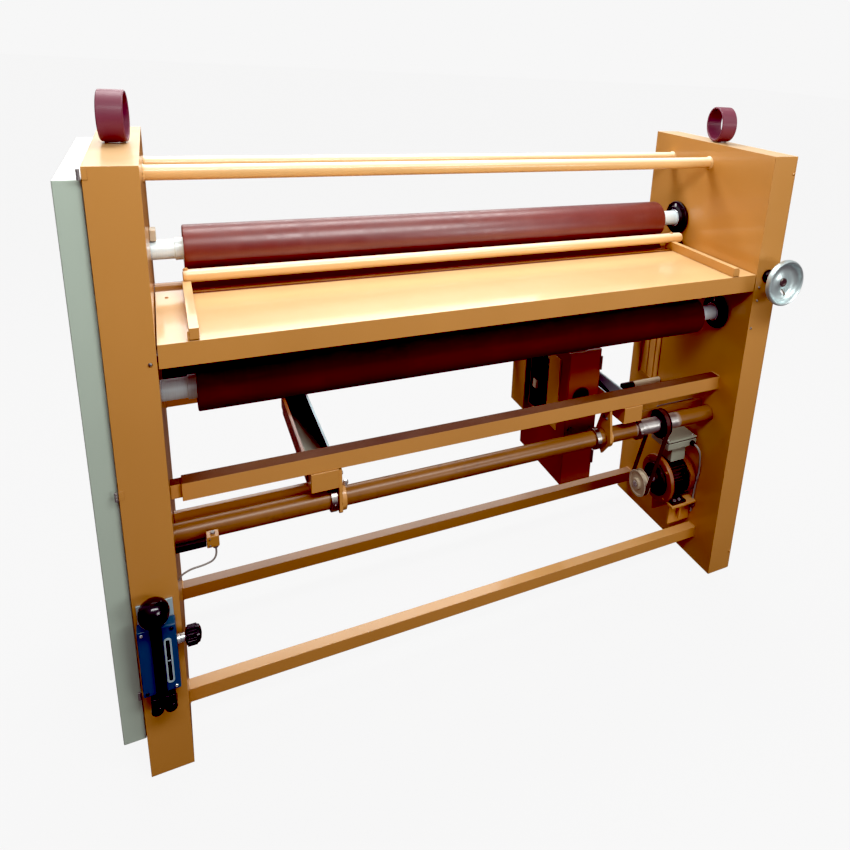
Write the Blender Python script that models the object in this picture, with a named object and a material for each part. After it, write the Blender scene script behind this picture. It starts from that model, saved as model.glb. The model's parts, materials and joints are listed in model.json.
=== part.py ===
"""Cold roll laminator: two sheet-steel side cabinets carry a pressure roller over a nip roller at the
back of a feed table, with a pull roller under the table, a motor-driven line shaft and a chain drive.

X runs along the rollers, Y goes from the front to the back, and Z is up. Lengths are in metres. Pieces
are drawn from a point on the floor midway between the cabinets and level with their fronts, and the
whole machine is then moved so that the origin is on the floor under the middle of its bounding box.
"""
import math

import bmesh
import bpy
from mathutils import Matrix, Vector

MM = 0.001

# Where the drawing point ends up once the machine is centred
PLACE = (10 * MM, -208 * MM, 0.0)

# Driving dimensions
CABINET_HEIGHT = 1250 * MM
CABINET_DEPTH = 484 * MM
CABINET_WIDTH = 78.8 * MM
INNER_WIDTH = 1384.8 * MM
SHEET = 3 * MM
ROLLER_RADIUS = 50 * MM
JOURNAL_RADIUS = 21 * MM
TABLE_TOP = 941 * MM
TABLE_DEPTH = 281 * MM
LIFT_TRAVEL = 15 * MM

# Clearances between neighbouring pieces
GAP = 0.4 * MM
RUNNING_GAP = 0.5 * MM

# Side planes
INNER = INNER_WIDTH / 2
OUTER = INNER + CABINET_WIDTH
WALL = INNER + SHEET

# Axes of the turning pieces, as (y, z)
ROLLER_START, ROLLER_END = -632 * MM, 608 * MM
UPPER_AXIS = (340 * MM, 1014 * MM)
NIP_AXIS = (340 * MM, UPPER_AXIS[1] - 2 * ROLLER_RADIUS - RUNNING_GAP)
PULL_AXIS = (125 * MM, 795 * MM)
LINE_AXIS = (100 * MM, 488 * MM)
MOTOR_AXIS = (160 * MM, 258 * MM)
LINE_RADIUS = 22 * MM
PULLEY_RADIUS = 40 * MM
PULLEY_PLANE = (512 * MM, 532 * MM)
SPROCKET_RADIUS = 36 * MM
SPROCKET_PLANE = (-752 * MM, -740 * MM)

# Frame members
TIE_RADIUS = 15 * MM
TIE_FRONT = (238 * MM, 1195 * MM)
TIE_REAR = (400 * MM, 1184 * MM)
RAIL_DEPTH, RAIL_HEIGHT, RAIL_WALL = 30 * MM, 35 * MM, 2.5 * MM
FRONT_RAIL = (80 * MM, 75 * MM)
REAR_RAIL = (412 * MM, 65 * MM)
BEAM_BOTTOM, BEAM_TOP = 576 * MM, 615 * MM
REAR_BEAM_LIFT = 21 * MM
FRONT_BEAM_Y = (75 * MM, 108 * MM)
REAR_BEAM_Y = (440 * MM, 473 * MM)
CHANNEL_CENTRE, CHANNEL_WIDTH = 401 * MM, 58 * MM
CHANNEL_BOTTOM = 530 * MM

# Hinge axis of the drive cover, and the guide bar's pivot, as (x, y) and (y, z)
COVER_HINGE = (-775 * MM, -3 * MM)
GUIDE_PIVOT = (6 * MM, 954 * MM)
GUIDE_TUBE = (276 * MM, 972 * MM)
GUIDE_TUBE_RADIUS = 14 * MM

# Adjusting screws and handwheel
SCREW_X = {"left": -712 * MM, "right": 712 * MM}
SCREW_RADIUS = 9 * MM
SHELF_Z = 1120 * MM
WHEEL_X, WHEEL_Z = 731 * MM, 935 * MM
WHEEL_RADIUS = 60 * MM
RING_Y = 252 * MM

CABINET_SIDES = {"left": -1, "right": 1}
BODIES = {}
ORIGINS = {}


# ---------------------------------------------------------------- materials
def paint(name, colour, roughness, metallic=0.0):
    """A Principled material with one colour."""
    made = bpy.data.materials.new(name)
    made.use_nodes = True
    shader = made.node_tree.nodes["Principled BSDF"]
    shader.inputs["Base Color"].default_value = (*colour, 1.0)
    shader.inputs["Roughness"].default_value = roughness
    shader.inputs["Metallic"].default_value = metallic
    made.diffuse_color = (*colour, 1.0)
    return made


def make_materials():
    """The finishes of the machine, by slot name."""
    return {
        "ochre_paint": paint("ochre_paint", (0.60, 0.33, 0.11), 0.3),
        "grey_paint": paint("grey_paint", (0.66, 0.71, 0.66), 0.4),
        "maroon_rubber": paint("maroon_rubber", (0.15, 0.025, 0.025), 0.35),
        "maroon_paint": paint("maroon_paint", (0.11, 0.01, 0.015), 0.25),
        "ground_steel": paint("ground_steel", (0.62, 0.63, 0.62), 0.3, 1.0),
        "black_iron": paint("black_iron", (0.02, 0.02, 0.022), 0.4, 0.3),
        "polished_wheel": paint("polished_wheel", (0.80, 0.82, 0.83), 0.15, 1.0),
        "navy_paint": paint("navy_paint", (0.03, 0.08, 0.22), 0.35),
        "black_plastic": paint("black_plastic", (0.012, 0.012, 0.013), 0.25),
        "cream_plastic": paint("cream_plastic", (0.72, 0.68, 0.58), 0.45),
        "belt_rubber": paint("belt_rubber", (0.03, 0.03, 0.03), 0.7),
        "chain_steel": paint("chain_steel", (0.22, 0.21, 0.20), 0.45, 1.0),
        "motor_paint": paint("motor_paint", (0.30, 0.14, 0.06), 0.45),
    }


# ---------------------------------------------------------------- mesh tools
def block(low, high):
    """A box between two corners."""
    made = bmesh.new()
    bmesh.ops.create_cube(made, size=1.0)
    size = [high[i] - low[i] for i in range(3)]
    middle = [(high[i] + low[i]) / 2 for i in range(3)]
    bmesh.ops.scale(made, vec=size, verts=made.verts)
    bmesh.ops.translate(made, vec=middle, verts=made.verts)
    return made


def along(axis, first, second, distance):
    """A point from its two coordinates across an axis and its distance along it."""
    if axis == "X":
        return Vector((distance, first, second))
    if axis == "Y":
        return Vector((first, distance, second))
    return Vector((first, second, distance))


def add_cap(mesh, ring):
    """One face over a closed ring of vertices."""
    mesh.faces.new(ring)


def bridge(mesh, ring_a, ring_b):
    """Quads between two rings of equal length."""
    count = len(ring_a)
    for i in range(count):
        j = (i + 1) % count
        mesh.faces.new((ring_a[i], ring_a[j], ring_b[j], ring_b[i]))


def prism(outline, axis, start, stop):
    """An outline pushed along an axis."""
    made = bmesh.new()
    ends = [[made.verts.new(along(axis, a, b, at)) for a, b in outline] for at in (start, stop)]
    bridge(made, ends[0], ends[1])
    add_cap(made, ends[0])
    add_cap(made, ends[1])
    bmesh.ops.recalc_face_normals(made, faces=made.faces)
    return made


def hollow_prism(outer, inner, axis, start, stop):
    """A wall between two outlines with the same number of points, open at both ends."""
    made = bmesh.new()
    rings = []
    for outline in (outer, inner):
        rings.append([[made.verts.new(along(axis, a, b, at)) for a, b in outline] for at in (start, stop)])
    (outer_start, outer_stop), (inner_start, inner_stop) = rings
    bridge(made, outer_start, outer_stop)
    bridge(made, inner_start, inner_stop)
    bridge(made, outer_start, inner_start)
    bridge(made, outer_stop, inner_stop)
    bmesh.ops.recalc_face_normals(made, faces=made.faces)
    return made


def circle(centre, radius, count, start=0.0, sweep=2 * math.pi):
    """Points on an arc, or on a whole circle without repeating its first point."""
    whole = abs(sweep - 2 * math.pi) < 1e-9
    steps = count if whole else count - 1
    angles = [start + sweep * i / steps for i in range(count)]
    return [(centre[0] + radius * math.cos(a), centre[1] + radius * math.sin(a)) for a in angles]


def rectangle(low, high):
    """The four corners of a rectangle."""
    return [(low[0], low[1]), (high[0], low[1]), (high[0], high[1]), (low[0], high[1])]


def turned(profile, axis, centre, count=24):
    """A turned piece from (radius, distance along the axis) points.

    A profile that starts and ends at radius 0 is solid; any other is a closed ring section.
    """
    made = bmesh.new()
    rings = []
    for radius, at in profile:
        if radius == 0:
            rings.append([made.verts.new(along(axis, centre[0], centre[1], at))])
        else:
            rings.append([made.verts.new(along(axis, a, b, at)) for a, b in circle(centre, radius, count)])
    pairs = list(zip(rings, rings[1:]))
    if profile[0][0] > 0:
        pairs.append((rings[-1], rings[0]))
    for ring_a, ring_b in pairs:
        if len(ring_a) == 1 and len(ring_b) == 1:
            continue
        if len(ring_a) == 1 or len(ring_b) == 1:
            pole, ring = (ring_a[0], ring_b) if len(ring_a) == 1 else (ring_b[0], ring_a)
            for i in range(count):
                made.faces.new((ring[i], ring[(i + 1) % count], pole))
        else:
            bridge(made, ring_a, ring_b)
    bmesh.ops.recalc_face_normals(made, faces=made.faces)
    return made


def rod(axis, centre, radius, start, stop, count=24, chamfer=1 * MM):
    """A solid round bar with chamfered ends."""
    profile = [(0, start), (radius - chamfer, start), (radius, start + chamfer)]
    profile += [(radius, stop - chamfer), (radius - chamfer, stop), (0, stop)]
    return turned(profile, axis, centre, count)


def pipe(axis, centre, outer, inner, start, stop, count=24):
    """A round tube, open at both ends."""
    profile = [(inner, start), (outer, start), (outer, stop), (inner, stop)]
    return turned(profile, axis, centre, count)


# ---------------------------------------------------------------- objects
def body(name, pivot=(0.0, 0.0, 0.0)):
    """An empty on the joint's axis, which the pieces of one moving body hang on."""
    empty = bpy.data.objects.new("body_" + name, None)
    empty.location = pivot
    empty.parent = MACHINE
    bpy.context.scene.collection.objects.link(empty)
    BODIES[name] = empty
    return empty


def piece(name, mesh_data, finish, owner, smooth=35):
    """Makes an object from a mesh in world coordinates and hangs it on its body's empty."""
    low = Vector([min(v.co[i] for v in mesh_data.verts) for i in range(3)])
    high = Vector([max(v.co[i] for v in mesh_data.verts) for i in range(3)])
    origin = Vector(BODIES[owner].location) if owner != "frame" else (low + high) / 2
    bmesh.ops.translate(mesh_data, vec=-origin, verts=mesh_data.verts)
    mesh = bpy.data.meshes.new(name)
    mesh_data.to_mesh(mesh)
    mesh_data.free()
    mesh.materials.append(MATERIALS[finish])
    mesh.shade_smooth()
    mesh.set_sharp_from_angle(angle=math.radians(smooth))
    made = bpy.data.objects.new(name, mesh)
    bpy.context.scene.collection.objects.link(made)
    made.parent = BODIES[owner]
    made.location = origin - Vector(BODIES[owner].location)
    ORIGINS[name] = origin
    return made


def combine(target, tool_mesh, operation):
    """Adds or removes a mesh in world coordinates with a Boolean, and hides the tool."""
    bmesh.ops.translate(tool_mesh, vec=-ORIGINS[target.name], verts=tool_mesh.verts)
    label = f"{target.name}_{operation.lower()}_{len(target.modifiers) + 1}"
    mesh = bpy.data.meshes.new(label)
    tool_mesh.to_mesh(mesh)
    tool_mesh.free()
    tool = bpy.data.objects.new(label, mesh)
    bpy.context.scene.collection.objects.link(tool)
    tool.parent = target
    tool.hide_render = True
    tool.display_type = "WIRE"
    modifier = target.modifiers.new(label, "BOOLEAN")
    modifier.operation = operation
    modifier.object = tool


def cut(target, tool_mesh):
    combine(target, tool_mesh, "DIFFERENCE")


def join(target, tool_mesh):
    combine(target, tool_mesh, "UNION")


# ---------------------------------------------------------------- cabinets and frame
def slotted_hole(side):
    """The tall hole in an inner wall that lets the pressure roller's journal rise."""
    half = JOURNAL_RADIUS + 2 * MM
    low, high = UPPER_AXIS[1], UPPER_AXIS[1] + LIFT_TRAVEL
    outline = circle((UPPER_AXIS[0], low), half, 17, math.pi, math.pi)
    outline += circle((UPPER_AXIS[0], high), half, 17, 0.0, math.pi)
    return prism(outline, "X", side * (INNER - 2 * MM), side * (WALL + 2 * MM))


def cabinet(name, side):
    """A folded sheet-steel box, open on its outer side, with holes for the shafts."""
    outer_edge = OUTER if side < 0 else OUTER - SHEET - GAP
    low_x, high_x = sorted((side * INNER, side * outer_edge))
    made = piece(name, block((low_x, 0, 0), (high_x, CABINET_DEPTH, CABINET_HEIGHT)), "ochre_paint", "frame")
    inside = sorted((side * WALL, side * (outer_edge + 5 * MM)))
    cut(made, block((inside[0], SHEET, SHEET), (inside[1], CABINET_DEPTH - SHEET, CABINET_HEIGHT - SHEET)))
    cut(made, slotted_hole(side))
    through = (side * (INNER - 2 * MM), side * (WALL + 2 * MM))
    start, stop = min(through), max(through)
    for axis, radius in ((NIP_AXIS, JOURNAL_RADIUS), (PULL_AXIS, JOURNAL_RADIUS), (LINE_AXIS, LINE_RADIUS)):
        cut(made, rod("X", axis, radius + 1 * MM, start, stop))
    shelf_low, shelf_high = sorted((side * (WALL - 1 * MM), side * (WALL + 45 * MM)))
    shelf = block((shelf_low, 300 * MM, SHELF_Z), (shelf_high, 380 * MM, SHELF_Z + 6 * MM))
    join(made, shelf)
    screw_x = side * abs(SCREW_X["left"])
    nut = rod("Z", (screw_x, UPPER_AXIS[0]), 15 * MM, SHELF_Z + 3 * MM, SHELF_Z + 26 * MM, 6)
    join(made, nut)
    cut(made, rod("Z", (screw_x, UPPER_AXIS[0]), SCREW_RADIUS + GAP, SHELF_Z - 5 * MM, SHELF_Z + 30 * MM, 16))
    return made


def make_cabinets():
    cabinet("left_cabinet", -1)
    right = cabinet("right_cabinet", 1)
    cut(right, rod("Y", (WHEEL_X, WHEEL_Z), 10 * MM, -5 * MM, 8 * MM, 16))
    window = block((INNER - 2 * MM, 350 * MM, 470 * MM), (WALL + 2 * MM, 440 * MM, 690 * MM))
    cut(right, window)
    panel = block((OUTER - SHEET, 0, 0), (OUTER, CABINET_DEPTH, CABINET_HEIGHT))
    piece("right_side_panel", panel, "ochre_paint", "frame")


def cross_tube(name, axis):
    """A round tube between the cabinets."""
    mesh = pipe("X", axis, TIE_RADIUS, TIE_RADIUS - RAIL_WALL, -INNER + GAP, INNER - GAP)
    piece(name, mesh, "ochre_paint", "frame")


def box_tube(name, front, bottom, depth, height, start, stop):
    """A rectangular tube along X."""
    outer = rectangle((front, bottom), (front + depth, bottom + height))
    inner_low = (front + RAIL_WALL, bottom + RAIL_WALL)
    inner_high = (front + depth - RAIL_WALL, bottom + height - RAIL_WALL)
    mesh = hollow_prism(outer, rectangle(inner_low, inner_high), "X", start, stop)
    return piece(name, mesh, "ochre_paint", "frame")


def cross_channel(name, centre):
    """A front-to-back channel, open upwards, with closed ends and a riser under the rear beam."""
    half = CHANNEL_WIDTH / 2
    top = BEAM_BOTTOM - GAP
    low = (centre - half, FRONT_BEAM_Y[0] - 3 * MM, CHANNEL_BOTTOM)
    high = (centre + half, REAR_BEAM_Y[1], top)
    made = piece(name, block(low, high), "ochre_paint", "frame")
    inside_low = (low[0] + 4 * MM, low[1] + 5 * MM, low[2] + 4 * MM)
    cut(made, block(inside_low, (high[0] - 4 * MM, high[1] - 5 * MM, top + 5 * MM)))
    riser_low = (low[0] + 1 * MM, REAR_BEAM_Y[0] + 1 * MM, top - 8 * MM)
    join(made, block(riser_low, (high[0] - 1 * MM, high[1] - 1 * MM, top + REAR_BEAM_LIFT)))


def shaft_bearing(name, outline, start):
    """A hanger plate with a round bearing housing on its right, bored for the line shaft."""
    made = piece(name, prism(outline, "X", start, start + 7 * MM), "ochre_paint", "frame")
    join(made, rod("X", LINE_AXIS, 30 * MM, start + 5 * MM, start + 17 * MM))
    cut(made, rod("X", LINE_AXIS, LINE_RADIUS + GAP, start - 5 * MM, start + 30 * MM))


def make_shaft_bearings():
    """The left hanger is bolted to its channel's flank, the right one hangs under the front beam."""
    y, z = LINE_AXIS
    foot, top = z - 25 * MM, 572 * MM
    plain = [(y - 24 * MM, top), (y - 30 * MM, foot + 6 * MM), (y - 24 * MM, foot), (y + 24 * MM, foot)]
    plain += [(y + 30 * MM, foot + 6 * MM), (y + 24 * MM, top)]
    shaft_bearing("shaft_bearing_left", plain, -CHANNEL_CENTRE + CHANNEL_WIDTH / 2 + GAP)
    top = BEAM_BOTTOM - GAP
    pointed = [(y - 22 * MM, top), (y - 38 * MM, z), (y, z - 50 * MM), (y + 38 * MM, z), (y + 8 * MM, top)]
    shaft_bearing("shaft_bearing_right", pointed, 328 * MM)


def make_frame():
    cross_tube("upper_tie_tube_front", TIE_FRONT)
    cross_tube("upper_tie_tube_rear", TIE_REAR)
    ends = (-INNER + GAP, INNER - GAP)
    box_tube("lower_front_rail", *FRONT_RAIL, RAIL_DEPTH, RAIL_HEIGHT, *ends)
    box_tube("lower_rear_rail", *REAR_RAIL, RAIL_DEPTH, RAIL_HEIGHT, *ends)
    beam_height = BEAM_TOP - BEAM_BOTTOM
    beam_depth = FRONT_BEAM_Y[1] - FRONT_BEAM_Y[0]
    shoulder = -INNER + 20 * MM
    front = box_tube("mid_front_beam", FRONT_BEAM_Y[0], BEAM_BOTTOM, beam_depth, beam_height, shoulder, ends[1])
    spigot_low = (ends[0], FRONT_BEAM_Y[0] + 8 * MM, BEAM_BOTTOM + 4 * MM)
    spigot_high = (shoulder + 30 * MM, FRONT_BEAM_Y[1] - 1 * MM, BEAM_TOP - 4 * MM)
    join(front, block(spigot_low, spigot_high))
    rear_bottom = BEAM_BOTTOM + REAR_BEAM_LIFT
    box_tube("mid_rear_beam", REAR_BEAM_Y[0], rear_bottom, beam_depth, beam_height, *ends)
    cross_channel("cross_channel_left", -CHANNEL_CENTRE)
    cross_channel("cross_channel_right", CHANNEL_CENTRE)
    make_shaft_bearings()
    brace_y = (LINE_AXIS[0] + LINE_RADIUS + 8 * MM, LINE_AXIS[0] + LINE_RADIUS + 20 * MM)
    brace_z = (LINE_AXIS[1] + 2 * MM, LINE_AXIS[1] + 27 * MM)
    left_end = -CHANNEL_CENTRE + CHANNEL_WIDTH / 2 - 1 * MM
    left = block((-INNER + GAP, brace_y[0], brace_z[0]), (left_end, brace_y[1], brace_z[1]))
    piece("left_brace_bar", left, "ochre_paint", "frame")


# ---------------------------------------------------------------- table and guide bar
def make_table():
    """A tray of folded sheet with a deep front flange, and two ears that carry the guide bar."""
    half = INNER - 2 * MM
    front_depth, side_depth, back_depth = 45 * MM, 36 * MM, 21 * MM
    low = (-half, 0, TABLE_TOP - SHEET)
    made = piece("work_table", block(low, (half, TABLE_DEPTH, TABLE_TOP)), "ochre_paint", "frame")
    overlap = TABLE_TOP - 1 * MM
    join(made, block((-half, 0, TABLE_TOP - front_depth), (half, SHEET, overlap)))
    join(made, block((-half, 0, TABLE_TOP - front_depth), (half, 20 * MM, TABLE_TOP - front_depth + SHEET)))
    join(made, block((-half, TABLE_DEPTH - SHEET, TABLE_TOP - back_depth), (half, TABLE_DEPTH, overlap)))
    for side in (-1, 1):
        edge = sorted((side * half, side * (half - SHEET)))
        join(made, block((edge[0], 1 * MM, TABLE_TOP - side_depth), (edge[1], TABLE_DEPTH - 1 * MM, overlap)))
    for arm_outer, direction in ((GUIDE_ARMS["left"][0], -1), (GUIDE_ARMS["right"][1], 1)):
        ear = sorted((arm_outer + direction * GAP, arm_outer + direction * 3 * MM))
        join(made, block((ear[0], 0.5 * MM, overlap), (ear[1], 13 * MM, GUIDE_PIVOT[1] + 6 * MM)))
        pin = sorted((arm_outer + direction * 2 * MM, arm_outer - direction * 8 * MM))
        join(made, rod("X", GUIDE_PIVOT, 2.5 * MM, pin[0], pin[1], 16, 0.5 * MM))


GUIDE_ARMS = {"left": (-640 * MM, -624 * MM), "right": (612 * MM, 628 * MM)}


def make_guide_bar():
    """A round tube across the table on two flat arms, hinged at the table's front edge."""
    mesh = pipe("X", GUIDE_TUBE, GUIDE_TUBE_RADIUS, GUIDE_TUBE_RADIUS - 2 * MM, -638 * MM, 656 * MM, 24)
    piece("guide_tube", mesh, "ochre_paint", "guide_bar")
    bottom, top, chamfer = TABLE_TOP + 0.5 * MM, 965 * MM, 3 * MM
    back = GUIDE_TUBE[0] + 8 * MM
    outline = [(chamfer, bottom), (back, bottom), (back, top), (0, top), (0, bottom + chamfer)]
    for side, (start, stop) in GUIDE_ARMS.items():
        arm = piece("guide_arm_" + side, prism(outline, "X", start, stop), "ochre_paint", "guide_bar")
        cut(arm, rod("X", GUIDE_TUBE, GUIDE_TUBE_RADIUS + GAP, start - 5 * MM, stop + 5 * MM, 24))
        outer, direction = (start, -1) if side == "left" else (stop, 1)
        hole = sorted((outer + direction * 3 * MM, outer - direction * 9 * MM))
        cut(arm, rod("X", GUIDE_PIVOT, 3 * MM, hole[0], hole[1], 16, 0.5 * MM))


# ---------------------------------------------------------------- rollers and bearings
def make_roller(prefix, axis, shaft_end):
    """A rubber sleeve on a steel core with a journal at each end."""
    core_radius = ROLLER_RADIUS - 10 * MM
    rounding = 1.5 * MM
    sleeve = [(core_radius + GAP, ROLLER_START), (ROLLER_RADIUS - rounding, ROLLER_START)]
    sleeve += [(ROLLER_RADIUS, ROLLER_START + rounding), (ROLLER_RADIUS, ROLLER_END - rounding)]
    sleeve += [(ROLLER_RADIUS - rounding, ROLLER_END), (core_radius + GAP, ROLLER_END)]
    piece(prefix, turned(sleeve, "X", axis, 32), "maroon_rubber", prefix)
    left_end, step = -756 * MM, 2 * MM
    shaft = [(0, left_end), (JOURNAL_RADIUS - 1 * MM, left_end), (JOURNAL_RADIUS, left_end + 1 * MM)]
    shaft += [(JOURNAL_RADIUS, ROLLER_START + step), (core_radius, ROLLER_START + step)]
    shaft += [(core_radius, ROLLER_END - step), (JOURNAL_RADIUS, ROLLER_END - step)]
    shaft += [(JOURNAL_RADIUS, shaft_end - 1 * MM), (JOURNAL_RADIUS - 1 * MM, shaft_end), (0, shaft_end)]
    piece(prefix + "_shaft", turned(shaft, "X", axis, 24), "ground_steel", prefix)


def flange_bearing(name, axis, owner):
    """A round cast flange bearing on the right cabinet's inner face."""
    bore = JOURNAL_RADIUS + GAP
    face = INNER - GAP
    profile = [(bore, face), (48 * MM, face), (48 * MM, face - 9 * MM), (36 * MM, face - 10 * MM)]
    profile += [(32 * MM, face - 18 * MM), (bore, face - 18 * MM)]
    made = piece(name, turned(profile, "X", axis, 24), "black_iron", owner)
    bolts = bmesh.new()
    for i in range(4):
        angle = math.pi / 4 + i * math.pi / 2
        centre = (axis[0] + 41 * MM * math.cos(angle), axis[1] + 41 * MM * math.sin(angle))
        head = prism(circle(centre, 5.5 * MM, 6), "X", face - 13 * MM, face - 6 * MM)
        scratch = bpy.data.meshes.new("bolt")
        head.to_mesh(scratch)
        head.free()
        bolts.from_mesh(scratch)
        bpy.data.meshes.remove(scratch)
    join(made, bolts)


def inner_bearing(name, axis):
    """A plain flange bearing inside the left cabinet."""
    bore = JOURNAL_RADIUS + GAP
    face = -WALL - GAP
    profile = [(bore, face), (35 * MM, face), (35 * MM, face - 8 * MM), (30 * MM, face - 16 * MM)]
    profile += [(bore, face - 16 * MM)]
    piece(name, turned(profile, "X", axis, 24), "black_iron", "frame")


def slide_block(name, side):
    """The block inside a cabinet that carries the pressure roller's journal and takes the screw."""
    low, high = sorted((side * (WALL + 2 * MM), side * (WALL + 28 * MM)))
    y, z = UPPER_AXIS
    block_mesh = block((low, y - 38 * MM, z - 38 * MM), (high, y + 38 * MM, z + 38 * MM))
    made = piece(name, block_mesh, "black_iron", "upper_carriage")
    cut(made, rod("X", UPPER_AXIS, JOURNAL_RADIUS + GAP, low - 5 * MM, high + 5 * MM))


def make_rollers():
    make_roller("upper_roller", UPPER_AXIS, 722 * MM)
    make_roller("nip_roller", NIP_AXIS, 712 * MM)
    make_roller("pull_roller", PULL_AXIS, 712 * MM)
    flange_bearing("upper_bearing_right", UPPER_AXIS, "upper_carriage")
    flange_bearing("nip_bearing_right", NIP_AXIS, "frame")
    flange_bearing("pull_bearing_right", PULL_AXIS, "frame")
    inner_bearing("nip_bearing_left", NIP_AXIS)
    inner_bearing("pull_bearing_left", PULL_AXIS)
    slide_block("slide_block_left", -1)
    slide_block("slide_block_right", 1)
    for name, side in CABINET_SIDES.items():
        bottom = UPPER_AXIS[1] + 38 * MM + GAP
        shank = rod("Z", (SCREW_X[name], UPPER_AXIS[0]), SCREW_RADIUS, bottom, 1226 * MM, 16)
        made = piece("pressure_screw_" + name, shank, "ground_steel", "screw_" + name)
        join(made, rod("Z", (SCREW_X[name], UPPER_AXIS[0]), 14 * MM, 1208 * MM, 1222 * MM, 6))


# ---------------------------------------------------------------- drive
def convex_loop(centres, radius, count=9):
    """The outline of a band stretched round equal circles, listed anticlockwise."""
    outline = []
    total = len(centres)
    for i in range(total):
        before, here, after = centres[i - 1], centres[i], centres[(i + 1) % total]
        enter = math.atan2(here[1] - before[1], here[0] - before[0]) - math.pi / 2
        leave = math.atan2(after[1] - here[1], after[0] - here[0]) - math.pi / 2
        while leave < enter:
            leave += 2 * math.pi
        outline += circle(here, radius, count, enter, leave - enter)
    return outline


def sprocket(name, axis, shaft_radius, owner):
    """A toothed wheel with a hub, pinned to a shaft inside the left cabinet."""
    teeth = 16
    outline = []
    for i in range(teeth):
        for radius, part in ((SPROCKET_RADIUS, -0.28), (SPROCKET_RADIUS - 5 * MM, 0.0), (SPROCKET_RADIUS, 0.28)):
            angle = 2 * math.pi * (i + part) / teeth
            outline.append((axis[0] + radius * math.cos(angle), axis[1] + radius * math.sin(angle)))
    start, stop = SPROCKET_PLANE
    made = piece(name, prism(outline, "X", start + 3 * MM, stop - 3 * MM), "chain_steel", owner)
    join(made, rod("X", axis, 27 * MM, stop - 5 * MM, stop + 8 * MM, 20))
    cut(made, rod("X", axis, shaft_radius + GAP, start - 10 * MM, stop + 15 * MM, 24))


def make_pulley(name, axis, shaft_radius, finish, owner):
    """A flat-belt pulley with two flanges and a hub."""
    start, stop = PULLEY_PLANE
    bore = shaft_radius + GAP
    profile = [(bore, start - 6 * MM), (shaft_radius + 8 * MM, start - 6 * MM), (shaft_radius + 8 * MM, start)]
    profile += [(PULLEY_RADIUS, start), (PULLEY_RADIUS, start + 2 * MM), (PULLEY_RADIUS - 5 * MM, start + 2 * MM)]
    profile += [(PULLEY_RADIUS - 5 * MM, stop - 2 * MM), (PULLEY_RADIUS, stop - 2 * MM)]
    profile += [(PULLEY_RADIUS, stop), (bore, stop)]
    piece(name, turned(profile, "X", axis, 24), finish, owner)


def make_drive():
    y, z = LINE_AXIS
    piece("line_shaft", rod("X", LINE_AXIS, LINE_RADIUS, -756 * MM, 712 * MM, 24), "ochre_paint", "line_shaft")
    make_pulley("line_shaft_pulley", LINE_AXIS, LINE_RADIUS, "black_iron", "line_shaft")
    make_pulley("motor_pulley", MOTOR_AXIS, 9 * MM, "cream_plastic", "motor_rotor")
    piece("motor_shaft", rod("X", MOTOR_AXIS, 9 * MM, 504 * MM, 585 * MM, 16), "ground_steel", "motor_rotor")
    centres = [MOTOR_AXIS, LINE_AXIS]
    inside = convex_loop(centres, PULLEY_RADIUS - 5 * MM + GAP, 12)
    outside = convex_loop(centres, PULLEY_RADIUS - 1 * MM, 12)
    start, stop = PULLEY_PLANE
    belt = hollow_prism(outside, inside, "X", start + 3 * MM, stop - 3 * MM)
    piece("drive_belt", belt, "belt_rubber", "frame")
    sprocket("nip_sprocket", NIP_AXIS, JOURNAL_RADIUS, "nip_roller")
    sprocket("pull_sprocket", PULL_AXIS, JOURNAL_RADIUS, "pull_roller")
    sprocket("line_sprocket", LINE_AXIS, LINE_RADIUS, "line_shaft")
    wheels = [LINE_AXIS, NIP_AXIS, PULL_AXIS]
    chain_inner = convex_loop(wheels, SPROCKET_RADIUS + GAP, 12)
    chain_outer = convex_loop(wheels, SPROCKET_RADIUS + 9 * MM, 12)
    chain = hollow_prism(chain_outer, chain_inner, "X", SPROCKET_PLANE[0] + 1 * MM, SPROCKET_PLANE[1] - 1 * MM)
    piece("drive_chain", chain, "chain_steel", "frame")


def make_motor():
    """A finned foot-mounted motor on a bracket inside the right cabinet's frame."""
    y, z = MOTOR_AXIS
    flange = [(11 * MM, 573 * MM), (48 * MM, 573 * MM), (52 * MM, 577 * MM), (52 * MM, 583 * MM)]
    flange += [(70 * MM, 583 * MM), (72 * MM, 585 * MM), (72 * MM, 597 * MM), (30 * MM, 599 * MM)]
    flange += [(11 * MM, 599 * MM)]
    fins = 20
    outline = []
    for i in range(fins):
        for radius, part in ((54, -0.5), (61, -0.22), (61, 0.22)):
            angle = 2 * math.pi * (i + part) / fins
            outline.append((y + radius * MM * math.cos(angle), z + radius * MM * math.sin(angle)))
    body_mesh = prism(outline, "X", 597.4 * MM, 664 * MM)
    made = piece("motor_body", body_mesh, "motor_paint", "frame")
    join(made, turned(flange, "X", MOTOR_AXIS, 28))
    join(made, rod("X", MOTOR_AXIS, 60 * MM, 663 * MM, 690 * MM, 24, 6 * MM))
    box_mesh = block((582 * MM, 122 * MM, 372 * MM), (686 * MM, 204 * MM, 402 * MM))
    terminal = piece("motor_terminal_box", box_mesh, "grey_paint", "frame")
    join(terminal, block((610 * MM, 136 * MM, z + 62 * MM), (662 * MM, 186 * MM, 374 * MM)))
    plate_top = z - 62 * MM
    plate = block((600 * MM, 92 * MM, plate_top - 8 * MM), (INNER - GAP, 232 * MM, plate_top))
    bracket = piece("motor_bracket", plate, "ochre_paint", "frame")
    for foot in (116 * MM, 196 * MM):
        join(bracket, block((612 * MM, foot, 118 * MM), (INNER - GAP, foot + 8 * MM, plate_top - 4 * MM)))


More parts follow.
